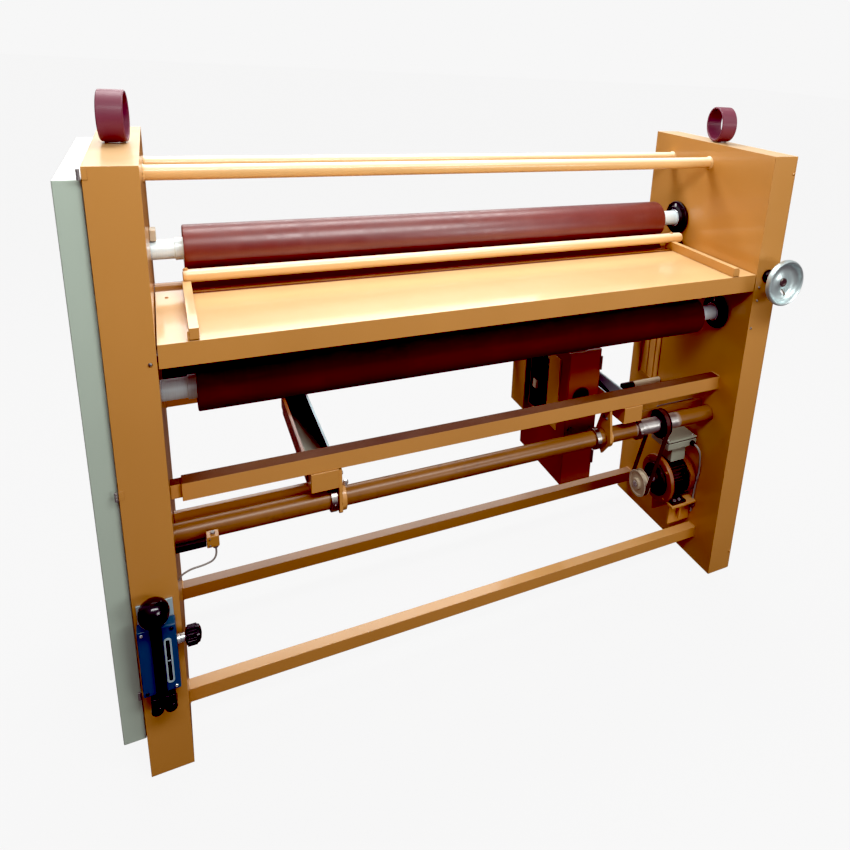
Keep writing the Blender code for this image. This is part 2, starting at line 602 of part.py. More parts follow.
def make_electrical_box():
    """A sheet-steel enclosure hung in the frame, with a window in its left side."""
    low, high = (262 * MM, 190 * MM, 298 * MM), (362 * MM, 439 * MM, 700 * MM)
    made = piece("electrical_box", block(low, high), "ochre_paint", "frame")
    inner_low = [value + SHEET for value in low]
    inner_high = [value - SHEET for value in high]
    cut(made, block(inner_low, inner_high))
    cut(made, block((low[0] - 5 * MM, 236 * MM, 455 * MM), (low[0] + 5 * MM, 396 * MM, 660 * MM)))


# ---------------------------------------------------------------- covers, wheel, rings, controls
def make_cover():
    """The grey tray that closes the chain drive on the left, and its hinge barrels."""
    low_x, high_x = -812 * MM, -OUTER - 1.2 * MM
    low_z, high_z = 96 * MM, 1228 * MM
    tray = block((low_x, 8 * MM, low_z), (high_x, 480 * MM, high_z))
    made = piece("drive_cover", tray, "grey_paint", "drive_cover")
    wall = 2 * MM
    inside_low = (low_x + wall, 8 * MM + wall, low_z + wall)
    cut(made, block(inside_low, (high_x + 5 * MM, 480 * MM - wall, high_z - wall)))
    for name, z in (("upper", 1238 * MM), ("middle", 664 * MM), ("lower", 216 * MM)):
        barrel = rod("Z", COVER_HINGE, 2.6 * MM, z - 9 * MM, z + 9 * MM, 12, 0.5 * MM)
        piece("cover_hinge_" + name, barrel, "black_iron", "frame")


def make_handwheel():
    """A dished wheel on a shaft that enters the right cabinet's front."""
    profile = [(8.4, -67), (13, -67), (14, -65), (14, -54), (38, -47), (51, -56), (54, -66), (58, -68)]
    profile += [(61, -65), (61, -56), (57, -51), (40, -41), (17, -42), (16, -30), (8.4, -30)]
    scaled = [(radius * MM, at * MM) for radius, at in profile]
    wheel = piece("handwheel", turned(scaled, "Y", (WHEEL_X, WHEEL_Z), 28), "polished_wheel", "handwheel")
    slot = circle((WHEEL_X + 8 * MM, WHEEL_Z - 26 * MM), 4 * MM, 7, math.pi / 2, math.pi)
    slot += circle((WHEEL_X + 18 * MM, WHEEL_Z - 34 * MM), 4 * MM, 7, -math.pi / 2, math.pi)
    cut(wheel, prism(slot, "Y", -70 * MM, -35 * MM))
    shaft = rod("Y", (WHEEL_X, WHEEL_Z), 8 * MM, -64 * MM, 300 * MM, 16)
    piece("handwheel_shaft", shaft, "ground_steel", "handwheel")


def make_rings():
    """A lifting ring on each cabinet, welded to a foot that turns on the cabinet's top."""
    radius, wall, half_width = 47 * MM, 6 * MM, 21.5 * MM
    for name, yaw in (("left", -5), ("right", -13.6)):
        centre_x = CABINET_SIDES[name] * (INNER + CABINET_WIDTH / 2)
        middle_z = CABINET_HEIGHT + 2.5 * MM + radius
        ring = pipe("X", (0, middle_z), radius, radius - wall, -half_width, half_width, 28)
        bmesh.ops.rotate(ring, verts=ring.verts, matrix=Matrix.Rotation(math.radians(yaw), 3, "Z"))
        bmesh.ops.translate(ring, vec=(centre_x, RING_Y, 0), verts=ring.verts)
        made = piece("lifting_ring_" + name, ring, "maroon_paint", "ring_" + name)
        foot = rod("Z", (centre_x, RING_Y), 12 * MM, CABINET_HEIGHT + 0.5 * MM, CABINET_HEIGHT + 6 * MM, 16)
        join(made, foot)


def make_control_box():
    """The speed control on the left cabinet's front: plates, lever, selector knob and foot."""
    plate = block((-765 * MM, -4 * MM, 236 * MM), (-704 * MM, -GAP, 424 * MM))
    piece("control_back_plate", plate, "ground_steel", "frame")
    box_mesh = block((-767 * MM, -30 * MM, 233 * MM), (-702 * MM, -4.4 * MM, 386 * MM))
    case = piece("control_case", box_mesh, "navy_paint", "frame")
    groove = block((-744 * MM, -36 * MM, 228 * MM), (-727 * MM, -22 * MM, 392 * MM))
    cut(case, groove)
    lobes = piece("control_foot", rod("Y", (-746 * MM, 195 * MM), 11 * MM, -36 * MM, -4.5 * MM, 16), "black_plastic", "frame")
    join(lobes, rod("Y", (-722 * MM, 195 * MM), 11 * MM, -36 * MM, -4.5 * MM, 16))
    join(lobes, block((-755.3 * MM, -34.2 * MM, 194.3 * MM), (-712.6 * MM, -5.7 * MM, 226 * MM)))
    lever = rod("Z", (LEVER_PIVOT[0], LEVER_PIVOT[1]), 4.5 * MM, LEVER_PIVOT[2] - 5 * MM, 420 * MM, 12)
    made = piece("control_lever", lever, "black_plastic", "control_lever")
    knob = [(0, 402), (13, 404), (22, 412), (26.5, 424), (27, 431), (24, 442), (16, 451), (8, 455), (0, 456)]
    join(made, turned([(r * MM, at * MM) for r, at in knob], "Z", (LEVER_PIVOT[0], LEVER_PIVOT[1]), 18))
    shank = rod("X", SELECTOR_AXIS, 6 * MM, -701.5 * MM, -684 * MM, 16)
    selector = piece("selector_knob", shank, "black_plastic", "selector_knob")
    head = [(0, -688), (9, -688), (14, -684), (19, -676), (20, -670), (16, -664), (8, -660), (0, -659)]
    join(selector, turned([(r * MM, at * MM) for r, at in head], "X", SELECTOR_AXIS, 18))


LEVER_PIVOT = (-735.5 * MM, -37 * MM, 238 * MM)
SELECTOR_AXIS = (-17 * MM, 338 * MM)


def make_limit_switch():
    """A limit switch on a bar from the left cabinet, in front of the line shaft."""
    arm = block((-INNER + GAP, 56 * MM, 474 * MM), (-630 * MM, 68 * MM, 488 * MM))
    made = piece("limit_switch", arm, "black_iron", "frame")
    join(made, block((-637 * MM, 49 * MM, 464 * MM), (-613 * MM, 72 * MM, 499 * MM)))


def make_bodies():
    """One empty for each moving body, on its joint's axis."""
    body("frame")
    body("upper_carriage", (0, *UPPER_AXIS))
    body("upper_roller", (0, *UPPER_AXIS))
    body("nip_roller", (0, *NIP_AXIS))
    body("pull_roller", (0, *PULL_AXIS))
    body("line_shaft", (0, *LINE_AXIS))
    body("motor_rotor", (PULLEY_PLANE[0], *MOTOR_AXIS))
    body("handwheel", (WHEEL_X, 0, WHEEL_Z))
    body("screw_left", (SCREW_X["left"], UPPER_AXIS[0], SHELF_Z))
    body("screw_right", (SCREW_X["right"], UPPER_AXIS[0], SHELF_Z))
    body("guide_bar", (0, *GUIDE_PIVOT))
    body("drive_cover", (*COVER_HINGE, CABINET_HEIGHT / 2))
    body("control_lever", LEVER_PIVOT)
    body("selector_knob", (-690 * MM, *SELECTOR_AXIS))
    for name, side in CABINET_SIDES.items():
        body("ring_" + name, (side * (INNER + CABINET_WIDTH / 2), RING_Y, CABINET_HEIGHT))


for leftover in list(bpy.data.objects):
    bpy.data.objects.remove(leftover, do_unlink=True)
MACHINE = bpy.data.objects.new("machine", None)
MACHINE.location = PLACE
bpy.context.scene.collection.objects.link(MACHINE)
MATERIALS = make_materials()
make_bodies()
make_cabinets()
make_frame()
make_table()
make_guide_bar()
make_rollers()
make_drive()
make_motor()
make_electrical_box()
make_cover()
make_handwheel()
make_rings()
make_control_box()
make_limit_switch()
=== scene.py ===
"""Looks for the cold roll laminator: materials, fittings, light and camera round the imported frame.

Pieces are drawn in millimetres from the point on the floor midway between the cabinets and level
with their fronts, and `add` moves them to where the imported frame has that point.
"""
import json
import math

import bmesh
import bpy
from mathutils import Matrix, Vector


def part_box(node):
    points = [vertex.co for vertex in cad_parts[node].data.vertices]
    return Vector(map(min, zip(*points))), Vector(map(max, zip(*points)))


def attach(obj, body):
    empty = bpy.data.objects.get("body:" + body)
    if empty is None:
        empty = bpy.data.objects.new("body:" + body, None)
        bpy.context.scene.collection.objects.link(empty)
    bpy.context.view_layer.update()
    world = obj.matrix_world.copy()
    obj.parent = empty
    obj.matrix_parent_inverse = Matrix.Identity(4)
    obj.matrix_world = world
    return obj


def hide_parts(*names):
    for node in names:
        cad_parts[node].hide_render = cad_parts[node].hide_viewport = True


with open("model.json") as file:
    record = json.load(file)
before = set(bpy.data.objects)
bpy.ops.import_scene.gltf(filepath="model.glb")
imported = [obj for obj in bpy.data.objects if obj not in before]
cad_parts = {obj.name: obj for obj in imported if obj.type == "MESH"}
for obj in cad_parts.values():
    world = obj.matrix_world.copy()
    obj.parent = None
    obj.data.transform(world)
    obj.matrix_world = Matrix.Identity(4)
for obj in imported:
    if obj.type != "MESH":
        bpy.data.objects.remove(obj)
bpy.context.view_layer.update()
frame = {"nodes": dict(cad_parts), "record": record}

MM = 0.001

LEFT_BOX, RIGHT_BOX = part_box("left_cabinet"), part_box("right_cabinet")
PLACE = Vector(((LEFT_BOX[1].x + RIGHT_BOX[0].x) / 2, LEFT_BOX[0].y, 0.0))

# From the middle to a cabinet's inner face, to its outer face and to the back of its inner wall
INNER, OUTER, WALL = 692.4, 771.2, 695.4
CABINET_TOP = 1250.0
# Axes along the machine, as (depth, height)
UPPER_AXIS, NIP_AXIS, PULL_AXIS = (340.0, 1014.0), (340.0, 913.5), (125.0, 795.0)
LINE_AXIS, MOTOR_AXIS = (100.0, 488.0), (160.0, 258.0)
ROLLER_START, ROLLER_END = -632.0, 608.0
ROLLER_RADIUS, CORE_RADIUS, JOURNAL_RADIUS, LINE_RADIUS = 50.0, 40.0, 21.0, 22.0
SHAFT_START, SHAFT_END = -756.0, 712.0
TABLE_TOP, TABLE_DEPTH = 941.0, 281.0
WHEEL_X, WHEEL_Z = 731.0, 935.0
RING_Y = 252.0


# ---------------------------------------------------------------- material tools
MATERIALS = {}


def make_node(tree, kind, inputs=None, **settings):
    """A shader node; an input is linked where a socket is given for it, and set where a value is."""
    made = tree.nodes.new(kind)
    for key, value in settings.items():
        setattr(made, key, value)
    for key, value in (inputs or {}).items():
        if hasattr(value, "links"):
            tree.links.new(value, made.inputs[key])
        else:
            made.inputs[key].default_value = value
    return made


class Finish:
    """One procedural material, built node by node. Noise scales are in features per metre."""

    def __init__(self, name, colour, roughness, metallic=0.0, coat=0.0, specular=0.5):
        self.name = name
        self.material = bpy.data.materials.new(name)
        self.material.use_nodes = True
        self.tree = self.material.node_tree
        self.shader = self.tree.nodes["Principled BSDF"]
        self.shader.inputs["Metallic"].default_value = metallic
        self.shader.inputs["Specular IOR Level"].default_value = specular
        self.shader.inputs["Coat Weight"].default_value = coat
        self.shader.inputs["Coat Roughness"].default_value = 0.10
        self.normal = None
        self.roughness = roughness
        base = self.node("ShaderNodeRGB")
        base.outputs[0].default_value = (*colour, 1.0)
        self.colour = base.outputs[0]
        self.place = self.node("ShaderNodeTexCoord").outputs["Object"]

    def node(self, kind, inputs=None, **settings):
        return make_node(self.tree, kind, inputs, **settings)

    def noise(self, scale, detail, stretch=None):
        """Noise between 0 and 1, with texture space scaled along each axis by stretch."""
        where = self.place
        if stretch:
            where = self.node("ShaderNodeMapping", {"Vector": where, "Scale": stretch}).outputs[0]
        inputs = {"Vector": where, "Scale": scale, "Detail": detail}
        return self.node("ShaderNodeTexNoise", inputs).outputs["Fac"]

    def axis(self, letter):
        """The position along one axis, in metres."""
        return self.node("ShaderNodeSeparateXYZ", {0: self.place}).outputs[letter]

    def remap(self, value, low, high, new_low=0.0, new_high=1.0):
        """Stretches low..high to new_low..new_high and clamps it."""
        inputs = {"Value": value, "From Min": low, "From Max": high, "To Min": new_low, "To Max": new_high}
        return self.node("ShaderNodeMapRange", inputs).outputs[0]

    def times(self, first, second):
        return self.node("ShaderNodeMath", {0: first, 1: second}, operation="MULTIPLY").outputs[0]

    def tint(self, mask, colour):
        """Mixes a colour over the base where the mask is high."""
        inputs = {0: mask, 6: self.colour, 7: (*colour, 1.0)}
        self.colour = self.node("ShaderNodeMix", inputs, data_type="RGBA").outputs[2]

    def shade(self, mask, low, high):
        """Multiplies the base by a grey that follows the mask."""
        grey = self.remap(mask, 0.3, 0.7, low, high)
        made = self.node("ShaderNodeVectorMath", {0: self.colour, "Scale": grey}, operation="SCALE")
        self.colour = made.outputs[0]

    def clouds(self, scale, detail, low, high, stretch=None):
        """Darker and lighter patches."""
        self.shade(self.noise(scale, detail, stretch), low, high)

    def patches(self, scale, low, high, most, colour, stretch=None):
        """Another colour where a fine noise is high."""
        self.tint(self.remap(self.noise(scale, 5.0, stretch), low, high, 0.0, most), colour)

    def uneven(self, scale, detail, low, high, less, more, stretch=None):
        """Lets the roughness vary with a noise."""
        noise = self.noise(scale, detail, stretch)
        self.roughness = self.remap(noise, low, high, self.roughness - less, self.roughness + more)

    def bump(self, height, distance):
        """Adds a bump of the given depth in metres on top of any earlier one."""
        made = self.node("ShaderNodeBump", {"Height": height, "Distance": distance, "Strength": 1.0})
        if self.normal:
            self.tree.links.new(self.normal, made.inputs["Normal"])
        self.normal = made.outputs[0]

    def rub(self, mask, colour):
        """Another colour near sharp edges, where the mask is high."""
        soft = self.node("ShaderNodeBevel", {"Radius": 1.6 * MM}, samples=4).outputs[0]
        flat = self.node("ShaderNodeNewGeometry").outputs["True Normal"]
        dot = self.node("ShaderNodeVectorMath", {0: soft, 1: flat}, operation="DOT_PRODUCT").outputs["Value"]
        self.tint(self.times(self.remap(dot, 0.985, 0.9), mask), colour)

    def top_light_and_dust(self, floor_share, colour):
        """Painted light and shade on faces that look up: another colour, paler for tops in the overhead light
        and darker for tops in the table's shade, with some dust; weaker low on the machine.
        """
        normal = self.node("ShaderNodeNewGeometry").outputs["Normal"]
        up = self.remap(self.node("ShaderNodeSeparateXYZ", {0: normal}).outputs["Z"], 0.35, 1.0)
        broken = self.times(up, self.remap(self.noise(6.0, 3.0), 0.3, 0.7, 0.85, 1.0))
        self.tint(self.times(broken, self.remap(self.axis("Z"), 0.70, 0.90, floor_share, 1.0)), colour)

    def corner_shade(self, reach, share, colour):
        """Painted shade: another colour in inner corners and gaps, where the ambient occlusion node finds
        them.
        """
        made = self.node("ShaderNodeAmbientOcclusion", {"Distance": reach * MM}, samples=4)
        self.tint(self.times(self.remap(made.outputs["AO"], 0.75, 0.25), share), colour)

    def finish(self):
        links = self.tree.links
        links.new(self.colour, self.shader.inputs["Base Color"])
        if hasattr(self.roughness, "links"):
            links.new(self.roughness, self.shader.inputs["Roughness"])
        else:
            self.shader.inputs["Roughness"].default_value = self.roughness
        if self.normal:
            links.new(self.normal, self.shader.inputs["Normal"])
        MATERIALS[self.name] = self.material


# ---------------------------------------------------------------- materials
# Colours of chipped edges, also laid into inner corners as painted shade
PRIMER_AND_SHADE = (0.10, 0.045, 0.02)
GREEN_CHIP_AND_SHADE = (0.20, 0.19, 0.16)


def enamel(name, colour, roughness=0.38, wear=0.35, chip_and_shade=PRIMER_AND_SHADE, coat=0.55, lit=None, low=0.30):
    """Sprayed enamel: orange peel, faint clouds, painted shade in corners, rubbed edges, and painted light
    and shade on the tops with some dust.
    """
    made = Finish(name, colour, roughness, coat=coat)
    made.clouds(2.5, 2.0, 0.96, 1.04)
    made.clouds(9.0, 2.0, 0.985, 1.012, (1.0, 1.0, 0.10))
    # Painted light and shade on the tops through the lit colour, with some dust.
    if lit:
        made.top_light_and_dust(low, lit)
    # Painted shade: the chip colour laid in the inner corners and gaps that the occlusion node finds.
    made.corner_shade(9, 0.35, chip_and_shade)
    made.rub(made.remap(made.noise(60.0, 4.0), 0.50, 0.62, 0.0, wear), chip_and_shade)
    made.uneven(14.0, 3.0, 0.3, 0.7, 0.03, 0.06)
    made.bump(made.noise(260.0, 1.0), 0.000012)
    made.finish()


def roller_rubber(name, colour, roughness, specular=1.0):
    """Ground rubber: fine turned lines, a satin sheen, and dust and scuffs along the feed path."""
    made = Finish(name, colour, roughness, specular=specular)
    made.clouds(5.0, 4.0, 0.88, 1.10, (1.0, 0.5, 0.5))
    made.clouds(60.0, 2.0, 0.96, 1.04, (9.0, 0.05, 0.05))
    made.patches(35.0, 0.50, 0.85, 0.10, (0.42, 0.22, 0.18), (0.4, 1.0, 1.0))
    made.uneven(30.0, 3.0, 0.3, 0.7, 0.05, 0.07, (2.0, 0.4, 0.4))
    made.bump(made.noise(900.0, 1.0, (1.0, 0.05, 0.05)), 0.00001)
    made.bump(made.noise(300.0, 2.0), 0.000012)
    made.finish()


def steel(name, colour, roughness, turned_about=None, metallic=1.0, stained=0.4):
    """Ground or turned steel: fine lines round the axis, smudges, a little brown staining and painted shade
    in corners.
    """
    made = Finish(name, colour, roughness, metallic)
    stretch = {"X": (1.0, 0.03, 0.03), "Y": (0.03, 1.0, 0.03), "Z": (0.03, 0.03, 1.0), None: (1.0, 1.0, 0.04)}
    lines = made.noise(900.0, 1.0, stretch[turned_about])
    made.shade(lines, 0.95, 1.04)
    made.patches(40.0, 0.60, 0.85, stained, (0.23, 0.15, 0.09))
    # Painted shade: a near-black in inner corners and gaps.
    made.corner_shade(6, 0.5, (0.06, 0.045, 0.035))
    made.uneven(26.0, 4.0, 0.3, 0.7, 0.06, 0.12)
    made.bump(lines, 0.000006)
    made.finish()


def casting(name, colour, roughness=0.48, grain=0.00015, metallic=0.2, rubbed=0.4):
    """Enamelled or blackened casting: sandy skin, rubbed high spots, oily patches and painted shade in
    corners.
    """
    made = Finish(name, colour, roughness, metallic)
    made.clouds(30.0, 4.0, 0.80, 1.20)
    bright = [min(1.0, c * 2.2 + 0.05) for c in colour]
    made.rub(made.remap(made.noise(90.0, 4.0), 0.4, 0.65, 0.0, rubbed), bright)
    # Painted shade: a darker copy of the colour in inner corners and gaps.
    made.corner_shade(8, 0.6, [c * 0.3 for c in colour])
    made.uneven(18.0, 4.0, 0.35, 0.7, 0.14, 0.12)
    made.bump(made.noise(380.0, 3.0), grain)
    made.finish()


def plastic(name, colour, roughness):
    """Moulded plastic: faint flow marks, fingerprints in the gloss and a fine grain."""
    made = Finish(name, colour, roughness, coat=0.2)
    made.clouds(12.0, 3.0, 0.92, 1.08)
    made.patches(120.0, 0.60, 0.85, 0.10, [min(1.0, c + 0.08) for c in colour])
    made.uneven(60.0, 4.0, 0.3, 0.75, 0.04, 0.12)
    made.bump(made.noise(800.0, 2.0), 0.00001)
    made.finish()


def line_shaft_paint():
    """The line shaft: painted over most of its length, bare steel towards the motor."""
    made = Finish("line_shaft", (0.24, 0.115, 0.032), 0.34)
    along = made.axis("X")
    bare = made.times(made.remap(along, 0.435, 0.450), made.remap(along, 0.590, 0.575))
    made.clouds(6.0, 4.0, 0.85, 1.1, (1.0, 0.5, 0.5))
    made.tint(bare, (0.62, 0.60, 0.57))
    made.patches(50.0, 0.58, 0.75, 0.45, (0.10, 0.06, 0.035))
    made.tree.links.new(made.times(bare, 0.9), made.shader.inputs["Metallic"])
    made.bump(made.noise(700.0, 2.0, (1.0, 0.05, 0.05)), 0.00001)
    made.finish()


def make_materials():
    """Every finish, under the name that `add` takes."""
    ochre = (0.54, 0.270, 0.082)
    # Painted light on the tops: the lit colour pales the faces that look up, with some dust.
    enamel("ochre_paint", ochre, lit=(0.70, 0.46, 0.22))
    # Painted shade: the beams' tops take a dark brown, as the table shades them.
    enamel("ochre_beam", ochre, 0.70, coat=0.0, lit=(0.09, 0.035, 0.012), low=1.0)
    # Painted shade: the rear rail's top takes a greyish brown, as the table shades it.
    enamel("ochre_rail", ochre, 0.50, coat=0.2, lit=(0.24, 0.15, 0.09), low=1.0)
    # Painted light: a paler ochre copy for the tubes, with very pale tops where the light catches them.
    enamel("ochre_lit_pale", (0.74, 0.45, 0.19), lit=(0.95, 0.82, 0.62))
    # Painted light: a brighter ochre copy for the lit window pan and lip.
    enamel("ochre_bright", (0.76, 0.40, 0.13))
    # Painted shade: a darker ochre copy for parts under and behind the table.
    enamel("ochre_in_shade", (0.42, 0.20, 0.05), 0.40)
    # Painted shade: a deep red-brown ochre copy for the enclosure in the table's shade.
    enamel("box_brown", (0.24, 0.085, 0.022), 0.42)
    # Painted light on the cover's tops: the lit colour pales them, with some dust.
    enamel("grey_paint", (0.45, 0.54, 0.455), 0.36, 0.3, GREEN_CHIP_AND_SHADE, 0.4, (0.95, 0.95, 0.93))
    # Painted shade: a darker copy of the grey paint, without pale tops, for the shaded terminal box.
    enamel("grey_in_shade", (0.33, 0.36, 0.28), 0.36, 0.3, GREEN_CHIP_AND_SHADE, 0.3)
    enamel("maroon_paint", (0.150, 0.042, 0.058), 0.52, 0.2, (0.30, 0.16, 0.12), 0.08)
    enamel("maroon_band", (0.16, 0.035, 0.020), 0.30, 0.3)
    enamel("navy_paint", (0.011, 0.090, 0.165), 0.32, 0.5, (0.22, 0.25, 0.30), 0.2)
    roller_rubber("maroon_rubber", (0.150, 0.034, 0.026), 0.38)
    # Painted shade: a darker, duller copy of the roller rubber for the pull roller under the table.
    roller_rubber("shaded_maroon_rubber", (0.095, 0.012, 0.010), 0.60, 0.25)
    steel("ground_steel", (0.80, 0.93, 0.97), 0.34, "X", 0.15, 0.03)
    steel("pale_plate", (0.44, 0.58, 0.62), 0.45, None, 0.25, 0.1)
    steel("polished_wheel", (0.60, 0.70, 0.70), 0.34, "Y", 0.75, 0.08)
    steel("bright_steel", (0.78, 0.80, 0.82), 0.22, None, 0.8, 0.1)
    steel("grey_steel", (0.30, 0.30, 0.29), 0.40, "Z", 0.6, 0.3)
    steel("chain_steel", (0.20, 0.18, 0.16), 0.42)
    steel("oiled_pin", (0.42, 0.40, 0.37), 0.30, "X")
    casting("black_iron", (0.007, 0.018, 0.015), rubbed=0.2)
    casting("belt_rubber", (0.055, 0.028, 0.016), 0.65, 0.0001, 0.0)
    casting("motor_paint", (0.25, 0.105, 0.036), 0.42, 0.0002, 0.0)
    casting("dark_motor", (0.022, 0.014, 0.010), 0.45, 0.0002, 0.1)
    plastic("black_plastic", (0.004, 0.016, 0.014), 0.16)
    plastic("cream_plastic", (0.55, 0.47, 0.34), 0.42)
    # Painted shade: a near-black for openings and channel floors that lie in shade.
    plastic("gap_shade_black", (0.020, 0.009, 0.006), 0.7)
    plastic("copper_wire", (0.35, 0.020, 0.012), 0.4)
    plastic("blue_wire", (0.015, 0.07, 0.28), 0.4)
    plastic("grey_cable", (0.26, 0.25, 0.22), 0.5)
    line_shaft_paint()


# ---------------------------------------------------------------- mesh tools (millimetres)
def block(low, high):
    """A box between two corners."""
    made = bmesh.new()
    bmesh.ops.create_cube(made, size=1.0)
    bmesh.ops.scale(made, vec=[abs(high[i] - low[i]) for i in range(3)], verts=made.verts)
    bmesh.ops.translate(made, vec=[(high[i] + low[i]) / 2 for i in range(3)], verts=made.verts)
    return made


def skinned(rings, joined=False):
    """Faces from ring to ring. The end rings are single points, capped, or joined to each other."""
    made = bmesh.new()
    loops = [[made.verts.new(point) for point in ring] for ring in rings]
    pairs = list(zip(loops, loops[1:]))
    if joined:
        pairs.append((loops[-1], loops[0]))
    else:
        for end in (loops[0], loops[-1]):
            if len(end) > 2:
                made.faces.new(end)
    for first, second in pairs:
        count = max(len(first), len(second))
        for i in range(count):
            j = (i + 1) % count
            steps = ((first, i), (first, j), (second, j), (second, i))
            corners = list(dict.fromkeys(ring[k % len(ring)] for ring, k in steps))
            if len(corners) > 2:
                made.faces.new(corners)
    bmesh.ops.recalc_face_normals(made, faces=made.faces)
    return made


def at_axis(axis, along, outline):
    """Points of a flat outline, put at a distance along an axis."""
    place = "XYZ".index(axis)
    return [(*point[:place], along, *point[place:]) for point in outline]


def prism(outline, axis, start, stop):
    """A flat outline swept straight along an axis."""
    return skinned([at_axis(axis, along, outline) for along in (start, stop)])


def hoop(outer, inner, axis, start, stop):
    """A closed band along an axis between an outer and an inner outline with as many points."""
    corners = ((outer, start), (outer, stop), (inner, stop), (inner, start))
    return skinned([at_axis(axis, along, outline) for outline, along in corners], joined=True)


def polar(centre, radius, angle):
    return (centre[0] + radius * math.cos(angle), centre[1] + radius * math.sin(angle))


def circle(centre, radius, count, start=0.0, sweep=2 * math.pi):
    """Points on a circle, or on an arc with both its ends."""
    steps = count if sweep >= 2 * math.pi else count - 1
    return [polar(centre, radius, start + sweep * i / steps) for i in range(count)]


def stadium(first, second, radius, count):
    """The outline of a straight slot or belt with round ends about two points."""
    lean = math.atan2(second[1] - first[1], second[0] - first[0])
    outline = circle(second, radius, count, lean - math.pi / 2, math.pi)
    return outline + circle(first, radius, count, lean + math.pi / 2, math.pi)


def toothed(centre, count, tooth):
    """The outline of a wheel of equal teeth, each given as corners of (radius, share of the pitch)."""
    corners = [(radius, (i + share) / count) for i in range(count) for radius, share in tooth]
    return [polar(centre, radius, 2 * math.pi * turn) for radius, turn in corners]


def placed(profile, start, step=1):
    """A profile of (radius, distance) laid out from a face, forwards or backwards along the axis."""
    return [(radius, start + step * distance) for radius, distance in profile]


def symmetric(half, start, stop):
    """A profile between two faces that has the same shape from both ends."""
    return placed(half, start) + placed(half[::-1], stop, -1)


def turned(profile, axis, centre, count=72):
    """A profile of (radius, distance along) turned round an axis; it closes on itself or on the axis."""
    rings = []
    for radius, along in profile:
        rings.append(at_axis(axis, along, circle(centre, radius, count) if radius else [centre]))
    return skinned(rings, joined=profile[0][0] != 0)


def rod(axis, centre, radius, start, stop, count=32, edge=0.6, bore=0.0):
    """A round bar or tube with small chamfers."""
    rounding = [(bore, 0), (radius - edge, 0), (radius, edge)]
    return turned(symmetric(rounding, start, stop), axis, centre, count)


def bolt(axis, centre, radius, start, stop, washer=0.0):
    """A hexagon head with a chamfered crown on a washer; the crown is at `stop`."""
    step = 1 if stop > start else -1
    crown = stop - step * 0.16 * abs(stop - start)
    outlines = ((radius, start), (radius, crown), (radius * 0.84, stop))
    made = skinned([at_axis(axis, along, circle(centre, size, 6)) for size, along in outlines])
    if washer:
        merge(made, rod(axis, centre, washer, *sorted((start, start + step * 1.2)), 24, 0.2))
    return made


def screw_head(axis, centre, radius, start, stop):
    """A round screw head with a recess on the `stop` side."""
    r, tall = radius, stop - start
    profile = [(0, 0), (r, 0), (r, 0.4), (r * 0.8, 0.8), (r * 0.45, 1.0), (r * 0.40, 0.55), (0, 0.5)]
    return turned(placed(profile, start, tall), axis, centre, 20)


def swept(points, radius, count=12):
    """A round cable through points, smoothed with a spline."""
    path = []
    knots = [Vector(p) for p in points]
    knots = [knots[0] * 2 - knots[1]] + knots + [knots[-1] * 2 - knots[-2]]
    for i in range(1, len(knots) - 2):
        before, here, after, beyond = knots[i - 1:i + 3]
        for step in range(8):
            t = step / 8
            bend = (2 * before - 5 * here + 4 * after - beyond) * t * t
            twist = (3 * here - before - 3 * after + beyond) * t ** 3
            path.append(0.5 * (2 * here + (after - before) * t + bend + twist))
    path.append(knots[-2])
    rings, side = [], None
    for i, point in enumerate(path):
        ahead = (path[min(i + 1, len(path) - 1)] - path[max(i - 1, 0)]).normalized()
        side = side or ahead.orthogonal().normalized()
        side = (side - ahead * side.dot(ahead)).normalized()
        other = ahead.cross(side)
        rings.append([point + side * y + other * z for y, z in circle((0, 0), radius, count)])
    return skinned(rings)


def merge(target, *others):
    """Adds the faces of other meshes to the first one."""
    for other in others:
        scratch = bpy.data.meshes.new("scratch")
        other.to_mesh(scratch)
        other.free()
        target.from_mesh(scratch)
        bpy.data.meshes.remove(scratch)
    return target


def rotated(mesh, axis, degrees, centre):
    """Rotates a mesh about an axis through a point."""
    matrix = Matrix.Rotation(math.radians(degrees), 3, axis)
    bmesh.ops.rotate(mesh, verts=mesh.verts, matrix=matrix, cent=centre)
    return mesh


# ---------------------------------------------------------------- pieces
RECORD = frame["record"]
BODY_OF_NODE = {node: body for body, nodes in RECORD["behaviour"]["bodies"].items() for node in nodes}
SLOT_OF_NODE = {row["node"]: row["material_slot"] for row in RECORD["subparts"]}
BEVEL_ANGLE, SHARP_ANGLE = math.radians(38), math.radians(32)


def new_object(name, data):
    made = bpy.data.objects.new(name, data)
    bpy.context.scene.collection.objects.link(made)
    return made


def round_edges(obj, width):
    modifier = obj.modifiers.new("edges", "BEVEL")
    modifier.width = width * MM
    modifier.segments = 2
    modifier.limit_method = "ANGLE"
    modifier.angle_limit = BEVEL_ANGLE
    weighted = obj.modifiers.new("face_normals", "WEIGHTED_NORMAL")
    weighted.mode = "FACE_AREA"
    weighted.weight = 100


def settle(name, data, finish, body, edge, replaces):
    """Makes a mesh a piece that rides on a body, or that stands for a CAD node and rides as it does."""
    data.polygons.foreach_set("use_smooth", [True] * len(data.polygons))
    obj = new_object(name, data)
    if edge:
        round_edges(obj, edge)
    else:
        data.set_sharp_from_angle(angle=SHARP_ANGLE)
    data.materials.append(MATERIALS[finish])
    if replaces:
        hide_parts(replaces)
    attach(obj, BODY_OF_NODE[replaces] if replaces else body)
    return obj


def into_place(mesh, name):
    """Scales a mesh drawn in millimetres to metres and moves it to where the machine stands."""
    bmesh.ops.scale(mesh, vec=(MM, MM, MM), verts=mesh.verts)
    bmesh.ops.translate(mesh, vec=PLACE, verts=mesh.verts)
    data = bpy.data.meshes.new(name)
    mesh.to_mesh(data)
    mesh.free()
    return data


